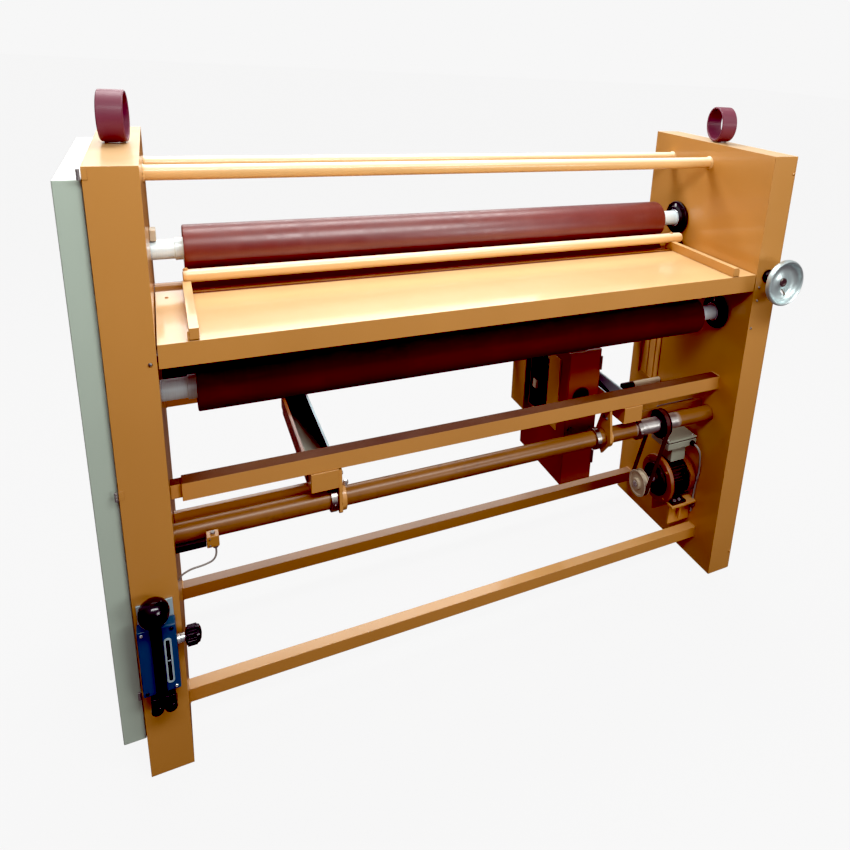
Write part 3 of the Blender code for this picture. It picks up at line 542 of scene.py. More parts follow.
def add(name, mesh, finish, body="frame", edge=0.0, replaces=""):
    """Puts a mesh into the scene as a piece."""
    return settle(name, into_place(mesh, name), finish, body, edge, replaces)


def add_each(name, meshes, finish, body="frame"):
    """Numbered pieces that are alike."""
    for i, mesh in enumerate(meshes):
        add(f"{name}_{i + 1}", mesh, finish, body)


def add_boxes(name, finish, edge, *corners, body="frame", replaces=""):
    """A piece made of boxes, given by two corners each, with softened edges."""
    mesh = merge(*[block(low, high) for low, high in zip(corners[::2], corners[1::2])])
    add(name, mesh, finish, body, edge, replaces)


def softened(node, width, finish=None):
    """A copy of a CAD node with small rounded edges, which stands for it."""
    mesh = bmesh.new()
    mesh.from_mesh(frame["nodes"][node].data)
    bmesh.ops.remove_doubles(mesh, verts=mesh.verts, dist=0.00001)
    bmesh.ops.dissolve_limit(mesh, angle_limit=math.radians(1), verts=mesh.verts, edges=mesh.edges)
    bmesh.ops.recalc_face_normals(mesh, faces=mesh.faces)
    data = bpy.data.meshes.new(node + "_skin")
    mesh.to_mesh(data)
    mesh.free()
    settle(node + "_skin", data, finish or SLOT_OF_NODE[node], "", width, node)


def dress_frame():
    """Every CAD node gets the procedural material of its slot."""
    for name, obj in frame["nodes"].items():
        for index in range(len(obj.data.materials)):
            obj.data.materials[index] = MATERIALS[SLOT_OF_NODE[name]]


def soften_nodes():
    """The CAD nodes whose shape is kept, by the width of their softened edges in millimetres."""
    widths = {
        0.8: ("control_back_plate:pale_plate",),
        1.0: ("cross_channel_left", "cross_channel_right", "shaft_bearing_left", "shaft_bearing_right"),
        1.1: ("right_side_panel",),
        1.2: ("motor_bracket",),
        1.3: ("guide_arm_left", "guide_arm_right"),
        1.5: ("slide_block_left", "slide_block_right"),
        # Painted shade: the enclosure takes the deep red-brown ochre copy.
        1.6: ("electrical_box:box_brown",),
        # The rear rail and the mid beams take ochre copies with painted shade on their tops.
        1.8: ("lower_front_rail", "left_brace_bar", "lower_rear_rail:ochre_rail", "mid_front_beam:ochre_beam",
              "mid_rear_beam:ochre_beam"),
        2.0: ("work_table",),
        2.2: ("left_cabinet", "right_cabinet", "control_case"),
        2.4: ("drive_cover",),
    }
    for width, entries in widths.items():
        for entry in entries:
            node, _, finish = entry.partition(":")
            softened(node, width, finish)


# ---------------------------------------------------------------- rollers and bearings
def roller(body, axis, shaft_end):
    """A rubber sleeve with softened ends on a stepped, turned steel shaft."""
    core, r = CORE_RADIUS + 0.4, ROLLER_RADIUS
    rounding = [(core, 0), (r - 3, 0), (r - 0.9, 0.9), (r, 3)]
    # Painted shade: the pull roller, under the table, takes the darker rubber.
    rubber = "shaded_maroon_rubber" if body == "pull_roller" else "maroon_rubber"
    sleeve = turned(symmetric(rounding, ROLLER_START, ROLLER_END), "X", axis, 128)
    add(body + "_sleeve", sleeve, rubber, replaces=body)
    step, r = 2.0, JOURNAL_RADIUS
    shaft = placed([(0, 0), (5, 0), (6, 3), (r - 1.5, 0), (r, 1.5)], SHAFT_START)
    shaft += symmetric([(r, -16), (r + 3, -15), (r + 3, step), (CORE_RADIUS, step)], ROLLER_START, ROLLER_END)
    shaft += placed([(r, -1.5), (r - 1.5, 0), (0, 0)], shaft_end)
    add(body + "_journals", turned(shaft, "X", axis), "ground_steel", replaces=body + "_shaft")


def flange_bearing(node, axis):
    """A round cast flange with a stepped hub, four bolts, a grease nipple and a bright bearing ring."""
    body = BODY_OF_NODE[node]
    face, bore = INNER - 0.4, JOURNAL_RADIUS + 0.5
    flange = [(bore + 5, 0), (46.5, 0), (48, 1.5), (48, 7.5), (46.5, 9), (38, 9.5), (34, 12)]
    flange += [(32.5, 17), (31.5, 18), (bore + 5, 18)]
    mesh = turned(placed(flange, face, -1), "X", axis)
    spots = circle(axis, 41, 4, math.pi / 4)
    merge(mesh, *[bolt("X", spot, 5.5, face - 8.8, face - 13, 6.6) for spot in spots])
    add(node + "_casting", mesh, "black_iron", replaces=node)
    ring = [(bore, 1), (bore + 4.6, 1), (bore + 4.6, 17), (bore + 3.6, 17.8), (bore, 17.8)]
    add(node + "_ring", turned(placed(ring, face, -1), "X", axis), "bright_steel", body)
    nipple = placed([(0, -11), (3, -11), (3, -6), (2, -4), (2.6, -2), (1.4, 0), (0, 0)], axis[1] + 42.0)
    add(node + "_nipple", turned(nipple, "Z", (face - 14, axis[0]), 16), "bright_steel", body)


def inner_bearing(node, axis):
    """A bolted flange bearing on the inside of the left cabinet."""
    face, bore = -WALL - 0.4, JOURNAL_RADIUS + 0.4
    flange = [(bore, 0), (34, 0), (35, 1), (35, 7), (34, 8), (31, 9), (30, 15), (29, 16), (bore, 16)]
    mesh = turned(placed(flange, face, -1), "X", axis, 56)
    merge(mesh, *[bolt("X", spot, 2.8, face - 7, face - 11) for spot in circle(axis, 31.5, 3, math.pi / 2)])
    add(node + "_casting", mesh, "black_iron", replaces=node)


def slide_block_lock(node, side):
    """The lock plate and two bolts on the cast block that carries the pressure roller's journal."""
    far = side * (WALL + 28)
    y, z = UPPER_AXIS
    plate = (far, y - 16, z + 25.5), (far + side * 3, y + 16, z + 36)
    add_boxes(node + "_lock_plate", "grey_steel", 0.6, *plate, body="upper_carriage")
    bolts = [bolt("X", (y + aside, z + 30.8), 3.2, far + side * 3, far + side * 6) for aside in (-11, 11)]
    add_each(node + "_lock_bolt", bolts, "oiled_pin", "upper_carriage")


def pressure_screw(node, x):
    """A threaded spindle with a hexagon."""
    y = UPPER_AXIS[0]
    bottom, top, pitch = UPPER_AXIS[1] + 38.4, 1226.0, 3.0
    profile = [(0, bottom), (7.5, bottom)]
    at = bottom + 4
    while at < top - 22:
        profile += placed([(9.0, 0), (9.0, 0.8), (7.7, 1.5), (7.7, 2.2)], at)
        at += pitch
    profile += placed([(9.0, -19), (9.0, -1), (8.0, 0), (0, 0)], top)
    spindle = turned(profile, "Z", (x, y), 24)
    merge(spindle, bolt("Z", (x, y), 14, top - 18, top - 4))
    add(node + "_spindle", spindle, "oiled_pin", replaces=node)


def make_rollers():
    roller("upper_roller", UPPER_AXIS, 722.0)
    roller("nip_roller", NIP_AXIS, SHAFT_END)
    roller("pull_roller", PULL_AXIS, SHAFT_END)
    flange_bearing("upper_bearing_right", UPPER_AXIS)
    flange_bearing("nip_bearing_right", NIP_AXIS)
    flange_bearing("pull_bearing_right", PULL_AXIS)
    inner_bearing("nip_bearing_left", NIP_AXIS)
    inner_bearing("pull_bearing_left", PULL_AXIS)
    for label, side in (("left", -1), ("right", 1)):
        slide_block_lock("slide_block_" + label, side)
        pressure_screw("pressure_screw_" + label, side * 712.0)


# ---------------------------------------------------------------- frame members
def tie_tubes():
    """The round upper tubes, each with a ring of weld at both ends."""
    start, stop, radius = -INNER + 0.4, INNER - 0.4, 15.0
    weld = [(radius - 0.2, 0), (radius + 3.0, 0), (radius + 1.6, 1.6), (radius - 0.2, 3.2)]
    for node, axis in (("upper_tie_tube_front", (238.0, 1195.0)), ("upper_tie_tube_rear", (400.0, 1184.0))):
        mesh = rod("X", axis, radius, start, stop, 64, 0.5, radius - 2.5)
        for end, inward in ((start, 1), (stop, -1)):
            merge(mesh, turned(placed(weld, end, inward), "X", axis, 64))
        # Painted light: the tubes take the paler ochre copy.
        add(node + "_pipe", mesh, "ochre_lit_pale", replaces=node)


def weld_bead(points):
    """A lumpy bead along a path."""
    mesh = swept(points, 1.7, 8)
    for vertex in mesh.verts:
        x, y, z = vertex.co
        wave = math.sin(x * 1.9 + y * 1.3) * math.sin(z * 1.7 + y * 0.9)
        vertex.co += Vector((math.sin(z * 2.1), math.sin(x * 2.3), math.sin(y * 1.9))) * 0.25 * wave
    return mesh


def frame_welds():
    """Fillet welds where the rails and beams meet the cabinets' inner faces."""
    rails = {
        "lower_front_rail": (80, 110, 75, 110), "lower_rear_rail": (412, 442, 65, 100),
        "mid_front_beam": (75, 108, 576, 615), "mid_rear_beam": (440, 473, 597, 636),
    }
    for node, (front, back, low, high) in rails.items():
        paths = [[(front, high + 0.4), ((front + back) / 2, high + 0.6), (back, high + 0.4)]]
        for y, out in ((front, -1), (back, 1)):
            paths.append([(y + 0.4 * out, low), (y + 0.6 * out, (low + high) / 2), (y + 0.4 * out, high)])
        for label, x in (("left", -INNER + 0.9), ("right", INNER - 0.9)):
            if node != "mid_front_beam" or label == "right":
                beads = [weld_bead([(x, y, z) for y, z in path]) for path in paths]
                add(f"{node}_weld_{label}", merge(*beads), "ochre_paint")


def channel_trim():
    """Pale steel lips on the channels, partly bare flange edges and partly painted highlight where they catch
    the light, and the bolts that hold the line shaft's hangers.
    """
    low, top = 575.7, 577.2
    for label, x in (("left", -401.0), ("right", 401.0)):
        # Painted highlight, partly real bare steel: pale strips where the flange edges catch the light.
        corners = [(x + 25, 110, low), (x + 28.8, 439, top), (x + 29.3, 79, 532), (x + 30.5, 439, 574.5)]
        if label == "right":
            corners += [(x - 28.8, 110, low), (x - 25.2, 439, top)]
            corners += [(x + 24.2, 110, 537), (x + 24.9, 439, 575.6)]
        add_boxes(f"cross_channel_{label}_lip", "pale_plate", 0.3, *corners)
        # Painted shade: a sheet on each channel's floor, near black in the right one and dull grey in the
        # left, for the shade inside.
        liner = "gap_shade_black" if label == "right" else "grey_in_shade"
        add_boxes(f"cross_channel_{label}_liner", liner, 0.3, (x - 24, 78, 534.4), (x + 24, 439, 536.2))
        bolts = [bolt("Z", spot, 4.0, 529.8, 525.6, 5.6) for spot in ((x + 12, 86), (x - 12, 97))]
        add_each(f"cross_channel_{label}_bolt", bolts, "grey_steel")
    x = -401.0
    # Painted shade: a deep red-brown strip along the left channel's outer flank.
    corners = (x - 31.4, 112, 531), (x - 30.2, 438, 577.4), (x - 30.1, 112, 576), (x - 24.6, 438, 577.4)
    add_boxes("cross_channel_left_edge_strip", "box_brown", 0.3, *corners)
    left = [bolt("X", (y, 555), 4.2, -364.4, -360.2, 5.6) for y in (90, 110)]
    right = [bolt("X", (y, 548), 3.8, 328.0, 324.0, 5.2) for y in (88, 102)]
    add_each("hanger_left_bolt", left, "grey_steel")
    add_each("hanger_right_bolt", right, "grey_steel")


# ---------------------------------------------------------------- drive
def make_line_shaft():
    """The line shaft and its set collars, and the grease cups of its hangers."""
    y, z = LINE_AXIS
    shaft = rod("X", LINE_AXIS, LINE_RADIUS, SHAFT_START, SHAFT_END, 72, 1.0)
    add("line_shaft_bar", shaft, "line_shaft", replaces="line_shaft")
    for label, start in (("left", -388.0), ("middle", 296.0), ("right", 432.0)):
        collar = rod("X", LINE_AXIS, 29.0, start, start + 14, 56, 1.0, LINE_RADIUS + 0.2)
        merge(collar, screw_head("Y", (start + 7, z), 3.0, y - 28.6, y - 31.0))
        add(f"line_shaft_collar_{label}", collar, "oiled_pin", "line_shaft")
    cup = placed([(0, 28), (4, 28), (4, 32), (6, 33), (6, 39), (3, 41), (0, 41)], z)
    for label, x in (("left", -352.6), ("right", 344.9)):
        add(f"hanger_{label}_grease_cup", turned(cup, "Z", (x, y - 2), 20), "bright_steel")


def pulley(node, axis, shaft_radius, finish):
    """A flanged pulley with a slightly crowned face, and a hub with a set screw."""
    start, stop, outer = 512.0, 532.0, 40.0
    bore, hub = shaft_radius + 0.4, shaft_radius + 8
    rim = [(outer - 7, 3.5), (outer - 6, 0.6), (outer - 1, 0), (outer, 0.8), (outer, 2), (outer - 5, 2.4)]
    profile = placed([(bore, -6), (hub - 1, -6), (hub, -5), (hub, 2.5), (hub + 2, 3.5)] + rim, start)
    profile += [(outer - 4.6, (start + stop) / 2)] + placed(rim[::-1] + [(bore, 3.5)], stop, -1)
    mesh = turned(profile, "X", axis)
    merge(mesh, screw_head("Z", (start - 3, axis[0]), 2.2, axis[1] + hub - 0.5, axis[1] + hub + 1.2))
    add(node + "_wheel", mesh, finish, replaces=node)


def make_belt():
    outer, inner = (stadium(MOTOR_AXIS, LINE_AXIS, radius, 36) for radius in (38.6, 35.6))
    band = hoop(outer, inner, "X", 515.2, 528.8)
    add("drive_belt_band", band, "belt_rubber", edge=0.5, replaces="drive_belt")


def loop_points(centres, radius, pitch):
    """Evenly spaced points on a loop stretched round equal circles, an even number of them."""
    path = []
    for i, here in enumerate(centres):
        before, after = centres[i - 1], centres[(i + 1) % len(centres)]
        enter = math.atan2(here[1] - before[1], here[0] - before[0]) - math.pi / 2
        leave = math.atan2(after[1] - here[1], after[0] - here[0]) - math.pi / 2
        while leave < enter:
            leave += 2 * math.pi
        path += circle(here, radius, 40, enter, leave - enter)
    lengths = [math.dist(path[i], path[(i + 1) % len(path)]) for i in range(len(path))]
    count = round(sum(lengths) / pitch / 2) * 2
    spacing, points, travelled, i = sum(lengths) / count, [], 0.0, 0
    for k in range(count):
        while travelled + lengths[i] < k * spacing:
            travelled += lengths[i]
            i += 1
        a, b = path[i], path[(i + 1) % len(path)]
        t = (k * spacing - travelled) / lengths[i] if lengths[i] else 0.0
        points.append((a[0] + (b[0] - a[0]) * t, a[1] + (b[1] - a[1]) * t))
    return points


def link_outline(a, b, radius):
    """The waisted outline of a chain plate between two pins."""
    lean = math.atan2(b[1] - a[1], b[0] - a[0])
    middle = ((a[0] + b[0]) / 2, (a[1] + b[1]) / 2)
    waist, wrap = radius * 0.72, math.pi * 0.84
    outline = circle(b, radius, 7, lean - wrap / 2, wrap)
    outline.append(polar(middle, waist, lean + math.pi / 2))
    outline += circle(a, radius, 7, lean + math.pi - wrap / 2, wrap)
    return outline + [polar(middle, waist, lean - math.pi / 2)]


def make_chain():
    """A roller chain with alternate inner and outer plates, and rollers."""
    low, high, plate = -751.0, -741.0, 1.2
    points = loop_points([LINE_AXIS, NIP_AXIS, PULL_AXIS], 40.5, 15.9)
    chain = bmesh.new()
    for i, a in enumerate(points):
        outline = link_outline(a, points[(i + 1) % len(points)], 4.2)
        inset = 1.6 if i % 2 else 0.2
        for x in (low + inset, high - inset - plate):
            merge(chain, prism(outline, "X", x, x + plate))
        merge(chain, prism(circle(a, 3.0, 10), "X", low + 2.9, high - 2.9))
    add("drive_chain_links", chain, "chain_steel", replaces="drive_chain")


def sprocket(node, axis, shaft_radius):
    """A toothed wheel with rounded gullets, a hub and a key screw."""
    tip, root, hub = 35.8, 30.6, 27
    start, stop, bore = -749.0, -743.0, shaft_radius + 0.4
    tooth = ((tip, -0.10), (tip, 0.10), (root + 1.5, 0.27), (root, 0.42), (root, 0.58), (root + 1.5, 0.73))
    wheel = prism(toothed(axis, 18, tooth), "X", start, stop)
    profile = [(bore, start - 1), (hub, start - 1)] + placed([(hub, 9), (hub - 1, 10), (bore, 10)], stop)
    merge(wheel, turned(profile, "X", axis, 48))
    merge(wheel, screw_head("Z", (stop + 5, axis[0]), 2.4, axis[1] + hub - 0.5, axis[1] + hub + 1.4))
    add(node + "_wheel", wheel, "chain_steel", replaces=node)


def make_motor():
    """Finned barrel, face flange, end shield, fan cowl with slots and lifting eye, and the keyed shaft."""
    axis = y, z = MOTOR_AXIS
    drum, tip = 53.0, 60.5
    fin = ((drum, -0.5), (drum, -0.20), (tip, -0.13), (tip, 0.13), (drum, 0.20))
    add("motor_fins", prism(toothed(axis, 40, fin), "X", 599.5, 662.0), "dark_motor", replaces="motor_body")
    ring = [(50.5, 584), (69, 583.4), (71, 584.4), (72, 586.5), (72, 595), (70.5, 597), (54, 598.6)]
    flange = turned(ring + [(50.5, 598.6)], "X", axis, 96)
    merge(flange, *[bolt("X", spot, 4.4, 583.6, 578.6, 6.0) for spot in circle(axis, 62, 4, math.pi / 4)])
    add("motor_flange", flange, "motor_paint")
    shield = [(11, 573.5), (22, 573.5), (24, 576), (30, 577.5), (44, 576.5), (48, 574.5), (50, 577)]
    shield += [(50.3, 583), (50.3, 599), (11, 599)]
    add("motor_end_shield", turned(shield, "X", axis, 80), "dark_motor")
    boss = [(10, 572.6), (15, 572.6), (17, 574.8), (17, 580), (10, 580)]
    add("motor_oil_seal", turned(boss, "X", axis, 48), "belt_rubber")
    cowl = [(0, 689.4), (46, 689.4), (55, 687.5), (59, 683), (60, 676), (60, 662.4), (57.5, 662.4)]
    add("motor_fan_cowl", turned(cowl + [(57.5, 676), (52, 685), (0, 686)], "X", axis), "motor_paint")
    slots = [hoop(circle(axis, r + 4, 48), circle(axis, r, 48), "X", 689.2, 690.0) for r in (18, 27, 36, 45)]
    add("motor_cowl_grille", merge(*slots), "dark_motor")
    eye = hoop(circle((y - 34, z + 58), 16, 32), circle((y - 34, z + 58), 11, 32), "X", 643, 649)
    merge(eye, rod("Z", (646, y - 34), 4.5, z + 42, z + 46, 20))
    add("motor_lifting_eye", rotated(eye, "X", 28, (646, y, z)), "dark_motor")
    shaft = rod("X", axis, 9.0, 504.0, 585.0, 40, 1.0)
    merge(shaft, block((506, y - 2, z + 7.6), (534, y + 2, z + 9.8)))
    add("motor_shaft_keyed", shaft, "bright_steel", replaces="motor_shaft")


def make_motor_mount():
    """The motor's feet with their webs and hold-down bolts, and the gusset of its bracket."""
    top = MOTOR_AXIS[1] - 62
    for i, (foot_y, inward) in enumerate(((112.0, 1), (208.0, -1))):
        foot = block((606, foot_y - 15, top + 0.4), (656, foot_y + 15, top + 8))
        corners = ((-8, 7), (14, 7), (25, 30), (18, 32))
        web = [(foot_y + inward * along, top + height) for along, height in corners]
        merge(foot, *[prism(web, "X", x, x + 6) for x in (610, 646)])
        add(f"motor_foot_{i + 1}", foot, "dark_motor", edge=0.8)
        spots = [(x, foot_y - 5 * inward) for x in (619, 636)]
        bolts = [bolt("Z", spot, 4.5, top + 8.1, top + 13, 6.5) for spot in spots]
        add_each(f"motor_foot_{i + 1}_bolt", bolts, "grey_steel")
    gusset = [(102.0, top - 8.4), (150.0, top - 8.4), (102.0, top - 60)]
    add("motor_bracket_gusset", prism(gusset, "X", 640, 646), "ochre_paint", edge=0.6)


def make_terminal_box():
    """The motor's connection box: lid with a gasket, four screws, a gland and its cable."""
    x0, x1, y0, y1, z0, z1 = 582.0, 686.0, 122.0, 204.0, 372.0, 402.0
    neck = (610, 136, MOTOR_AXIS[1] + 61.5), (662, 186, z0 + 0.4)
    # Painted shade: the terminal box takes the darker grey copy.
    add_boxes("motor_terminal_base", "grey_in_shade", 1.6, (x0, y0, z0), (x1, y1, 392.0), *neck,
              replaces="motor_terminal_box")
    gasket = (x0 + 1.2, y0 + 1.2, 392.2), (x1 - 1.2, y1 - 1.2, 394.0)
    add_boxes("motor_terminal_gasket", "black_plastic", 0.3, *gasket)
    add_boxes("motor_terminal_lid", "grey_in_shade", 2.4, (x0, y0, 394.2), (x1, y1, z1 - 1.2))
    spots = [(x, y) for y in (y0 + 8, y1 - 8) for x in (x0 + 8, x1 - 8)]
    screws = [screw_head("Z", spot, 3.6, z1 - 1.4, z1) for spot in spots]
    add_each("motor_terminal_screw", screws, "bright_steel")
    gland = bolt("Y", (668, 382), 8, y0 - 0.2, y0 - 9)
    merge(gland, rod("Y", (668, 382), 6.5, y0 - 14, y0 - 9, 24, 0.5, 4.3))
    add("motor_terminal_gland", gland, "black_plastic")
    path = [(668, y0 - 8, 382), (668, y0 - 26, 380), (674, y0 - 34, 362), (682, 92, 330)]
    path += [(688.5, 96, 290), (688.5, 104, 230), (688.5, 106, 150)]
    add("motor_cable", swept(path, 3.6, 14), "grey_cable")
    for i, z in enumerate((262.0, 172.0)):
        add_boxes(f"motor_cable_clip_{i + 1}", "grey_steel", 0.8, (684.2, 96, z), (691.8, 112, z + 8))


def make_drive():
    make_line_shaft()
    pulley("line_shaft_pulley", LINE_AXIS, LINE_RADIUS, "black_iron")
    pulley("motor_pulley", MOTOR_AXIS, 9.0, "cream_plastic")
    make_belt()
    make_chain()
    sprocket("nip_sprocket", NIP_AXIS, JOURNAL_RADIUS)
    sprocket("pull_sprocket", PULL_AXIS, JOURNAL_RADIUS)
    sprocket("line_sprocket", LINE_AXIS, LINE_RADIUS)
    make_motor()
    make_motor_mount()
    make_terminal_box()


# ---------------------------------------------------------------- cabinets, table and guide bar
def make_cabinets():
    """The service window's pan and rim, small screws, levelling pads and the carriage's lug."""
    pan = [(WALL + 0.6, 346, 466), (WALL + 2.2, 444, 694)]
    for y in (372, 404):
        pan += [(WALL - 1.8, y, 470.6), (WALL + 1, y + 7, 689.4)]
    # Painted light: the pan takes the brighter ochre copy.
    add_boxes("service_window_pan", "ochre_bright", 0.6, *pan)
    x0, x1 = INNER - 2.4, INNER - 0.3
    rim = [(x0, 440.6, 466), (x1, 447, 694), (x0, 343, 466), (x1, 349.4, 694)]
    rim += [(x0, 349.6, 690.6), (x1, 440.4, 696)]
    add_boxes("service_window_rim", "ochre_paint", 0.5, *rim)
    for i, spot in enumerate(((-703, 907), (708, 905), (708, 868), (702, 790), (764, 1205), (764, 60))):
        head = screw_head("Y", spot, 3.6, -0.3, -2.6)
        add(f"cabinet_screw_{i + 1}", head, "oiled_pin" if i < 4 else "ochre_paint")
    screw = placed([(0, 0.2), (7, 0.2), (7, 1.4), (4.6, 2.6), (1.6, 3.4), (1.4, 2.2), (0, 2.2)], OUTER)
    spots = [(y, z) for z in (60, 1205, 640) for y in (40, 444)]
    add_each("side_panel_screw", [turned(screw, "X", spot, 24) for spot in spots], "grey_steel")
    pad = [(0, 0.4), (16, 0.4), (18, 1.5), (18, 2.4), (0, 2.4)]
    for side, label in ((-1, "left"), (1, "right")):
        pads = [turned(pad, "Z", (side * (INNER + 39), y), 32) for y in (60, 424)]
        add_each(f"{label}_levelling_pad", pads, "black_plastic")
    lug = (-692.0, 325, 1036), (-680.5, 355, 1060)
    add_boxes("left_carriage_lug", "cream_plastic", 1.5, *lug, body="upper_carriage")


def make_table():
    """The table's rear strips, side screws and rubbed front fold, and the parts just under it."""
    half = INNER - 2.0
    # Painted shade: the middle strip and the side screws take the darker ochre copy.
    strips = (("front", 250.0, 255.0, "maroon_band", 1.4), ("middle", 258.0, 266.0, "ochre_in_shade", 1.2),
              ("rear", 268.0, TABLE_DEPTH - 3.0, "maroon_band", 2.2))
    for label, low, high, finish, tall in strips:
        strip = (-622.0, low, TABLE_TOP + 0.15), (610.0, high, TABLE_TOP + tall)
        add_boxes(f"table_strip_{label}", finish, 0.4, *strip)
    fold = swept([(x, 1.2, TABLE_TOP - 1.3) for x in (-half + 4, 0, half - 4)], 1.25, 10)
    add("table_front_fold", fold, "ochre_paint")
    for label, x in (("left", -half + 20), ("right", half - 20)):
        head = screw_head("Z", (x, 240.0), 3.4, TABLE_TOP + 0.1, TABLE_TOP + 1.9)
        add(f"table_{label}_screw", head, "ochre_in_shade")
    # Painted shade: the guards take the darker ochre copy.
    for label, start, stop in (("left", -half - 1.2, -634.0), ("right", 611.0, 672.0)):
        guard = rod("X", NIP_AXIS, 25.8, start, stop, 48, 0.5, 24.6)
        add(f"nip_end_guard_{label}", guard, "ochre_in_shade")
    # Painted shade: a black plate standing for the dark space behind the pull roller's left end.
    add_boxes("pull_side_shade_plate", "black_plastic", 1.2, (-half - 1.2, 284.0, 705.0), (-608.0, 296.0, 800.0))


def make_guide_bar():
    """A tube with closed, rounded ends, clamped on the two flat arms."""
    y, z = 276.0, 972.0
    rounding = [(0, 0), (8, 0), (12, 1.2), (13.6, 4), (14.0, 8)]
    pipe = turned(symmetric(rounding, -638.0, 656.0), "X", (y, z))
    # Painted light: the guide tube takes the paler ochre copy.
    add("guide_tube_pipe", pipe, "ochre_lit_pale", replaces="guide_tube")
    for label, x in (("left", -632.0), ("right", 620.0)):
        clamp = bolt("Z", (x, y), 4.0, z + 13.6, z + 17.5, 5.6)
        add(f"guide_clamp_{label}", clamp, "ochre_paint", "guide_bar")


# ---------------------------------------------------------------- cover, rings and handwheel
def make_cover():
    """The hinges, quarter-turn fasteners and inner ribs of the chain cover."""
    x, y = -775.0, -3.0
    for name, z in (("upper", 1238.0), ("middle", 664.0), ("lower", 216.0)):
        middles = (z - 6, z, z + 6)
        knuckles = [rod("Z", (x, y), 2.6, middle - 2.85, middle + 2.85, 24, 0.4) for middle in middles]
        add(f"cover_hinge_{name}_barrel", merge(*knuckles), "grey_steel", replaces="cover_hinge_" + name)
        leaf = (x + 3.8, -1.2, z - 9), (x + 12, -0.3, z + 9)
        add_boxes(f"cover_hinge_{name}_leaf", "ochre_paint", 0.3, *leaf)
    latch = placed([(0, 2.2), (9, 2.2), (9, 0.2), (7.5, 0), (0, 0)], -812.0)
    latches = [turned(latch, "X", (456, z), 32) for z in (1180, 664, 150)]
    add_each("cover_latch", latches, "grey_steel", "drive_cover")
    x = -OUTER - 36.4
    ribs = [swept([(x, y, 190.0), (x, y, 1130.0)], 2.0, 10) for y in (120, 366)]
    add_each("cover_inner_rib", ribs, "grey_paint", "drive_cover")


def lifting_ring(label, side, yaw):
    """A wide band ring with rounded rims, welded on a short foot over a steel washer."""
    foot = (side * (INNER + 39.4), RING_Y)
    outer, inner, half = 47.0, 41.0, 21.5
    middle = CABINET_TOP + 2.5 + outer
    rounding = [(inner, 1.5), (inner + 1.5, 0), (outer - 1.5, 0), (outer, 1.5)]
    band = turned(symmetric(rounding, -half, half), "X", (0, middle), 96)
    rotated(band, "Z", yaw, (0, 0, 0))
    bmesh.ops.translate(band, vec=(*foot, 0), verts=band.verts)
    bead = turned(placed([(11, 4.4), (16.5, 4.2), (15, 6.8), (12, 8.4)], CABINET_TOP), "Z", foot, 32)
    for vertex in bead.verts:
        vertex.co.z += 0.5 * math.sin(vertex.co.x * 1.3) * math.sin(vertex.co.y * 1.1)
    node = "lifting_ring_" + label
    add(node + "_band", merge(band, bead), "maroon_paint", replaces=node)
    washer = placed([(0, 0.5), (17, 0.5), (18, 1.2), (18, 3.2), (17, 4), (0, 4)], CABINET_TOP)
    add(node + "_washer", turned(washer, "Z", foot, 48), "grey_steel", "ring_" + label)


def carve(obj, tool_mesh):
    """Cuts a mesh drawn in millimetres out of a piece, and leaves no modifier behind."""
    tool = new_object("tool", into_place(tool_mesh, "tool"))
    modifier = obj.modifiers.new("cut", "BOOLEAN")
    modifier.operation = "DIFFERENCE"
    modifier.object = tool
    modifier.solver = "EXACT"
    bpy.context.view_layer.update()
    graph = bpy.context.evaluated_depsgraph_get()
    result = bpy.data.meshes.new_from_object(obj.evaluated_get(graph))
    obj.modifiers.remove(modifier)
    obj.data = result
    bpy.data.objects.remove(tool)
    result.set_sharp_from_angle(angle=SHARP_ANGLE)


def make_handwheel():
    """A dished, turned wheel with a rounded rim, a finger slot, a dark hub and two collars."""
    axis = (WHEEL_X, WHEEL_Z)
    profile = [(8.4, -55), (13, -55), (15, -53.6), (22, -50.6), (32, -49.0), (40, -49.6), (46, -52)]
    profile += [(50, -56.5), (52.4, -61), (53.6, -65), (55, -67), (57.5, -68), (60, -66.6), (61, -63.5)]
    profile += [(61, -57.5), (59.6, -54.2), (56, -51.4), (49, -46), (41, -42.6), (30, -41.6), (20, -42)]
    profile += [(16.5, -43.5), (16, -40), (16, -31), (15, -30), (8.4, -30)]
    wheel = add("handwheel_disc", turned(profile, "Y", axis, 96), "polished_wheel", replaces="handwheel")
    slot = stadium((WHEEL_X + 6, WHEEL_Z - 25), (WHEEL_X + 17, WHEEL_Z - 36), 4.2, 14)
    carve(wheel, prism(slot, "Y", -75, -35))
    hub = [(0, -57.5), (6, -57.5), (7, -58.4), (10.4, -58.4), (11.4, -57.4), (11.4, -55.2), (0, -55.2)]
    add("handwheel_hub_cap", turned(hub, "Y", axis, 40), "chain_steel", "handwheel")
    shaft = rod("Y", axis, 8.0, -54.8, 300.0, 40, 0.8)
    add("handwheel_shaft_bar", shaft, "bright_steel", replaces="handwheel_shaft")
    collar = [(8.6, -0.6), (17, -0.6), (18, -1.6), (18, -3.4), (15, -4.4), (13, -9), (12, -10), (8.6, -10)]
    add("handwheel_collar", turned(collar, "Y", axis, 56), "black_iron")
    lock = turned(symmetric([(8.5, 0), (13, 0), (13.8, 1)], -22, -13), "Y", axis, 48)
    merge(lock, screw_head("Z", (WHEEL_X, -17.5), 2.4, WHEEL_Z + 13.4, WHEEL_Z + 15.2))
    add("handwheel_lock_collar", lock, "grey_steel", "handwheel")


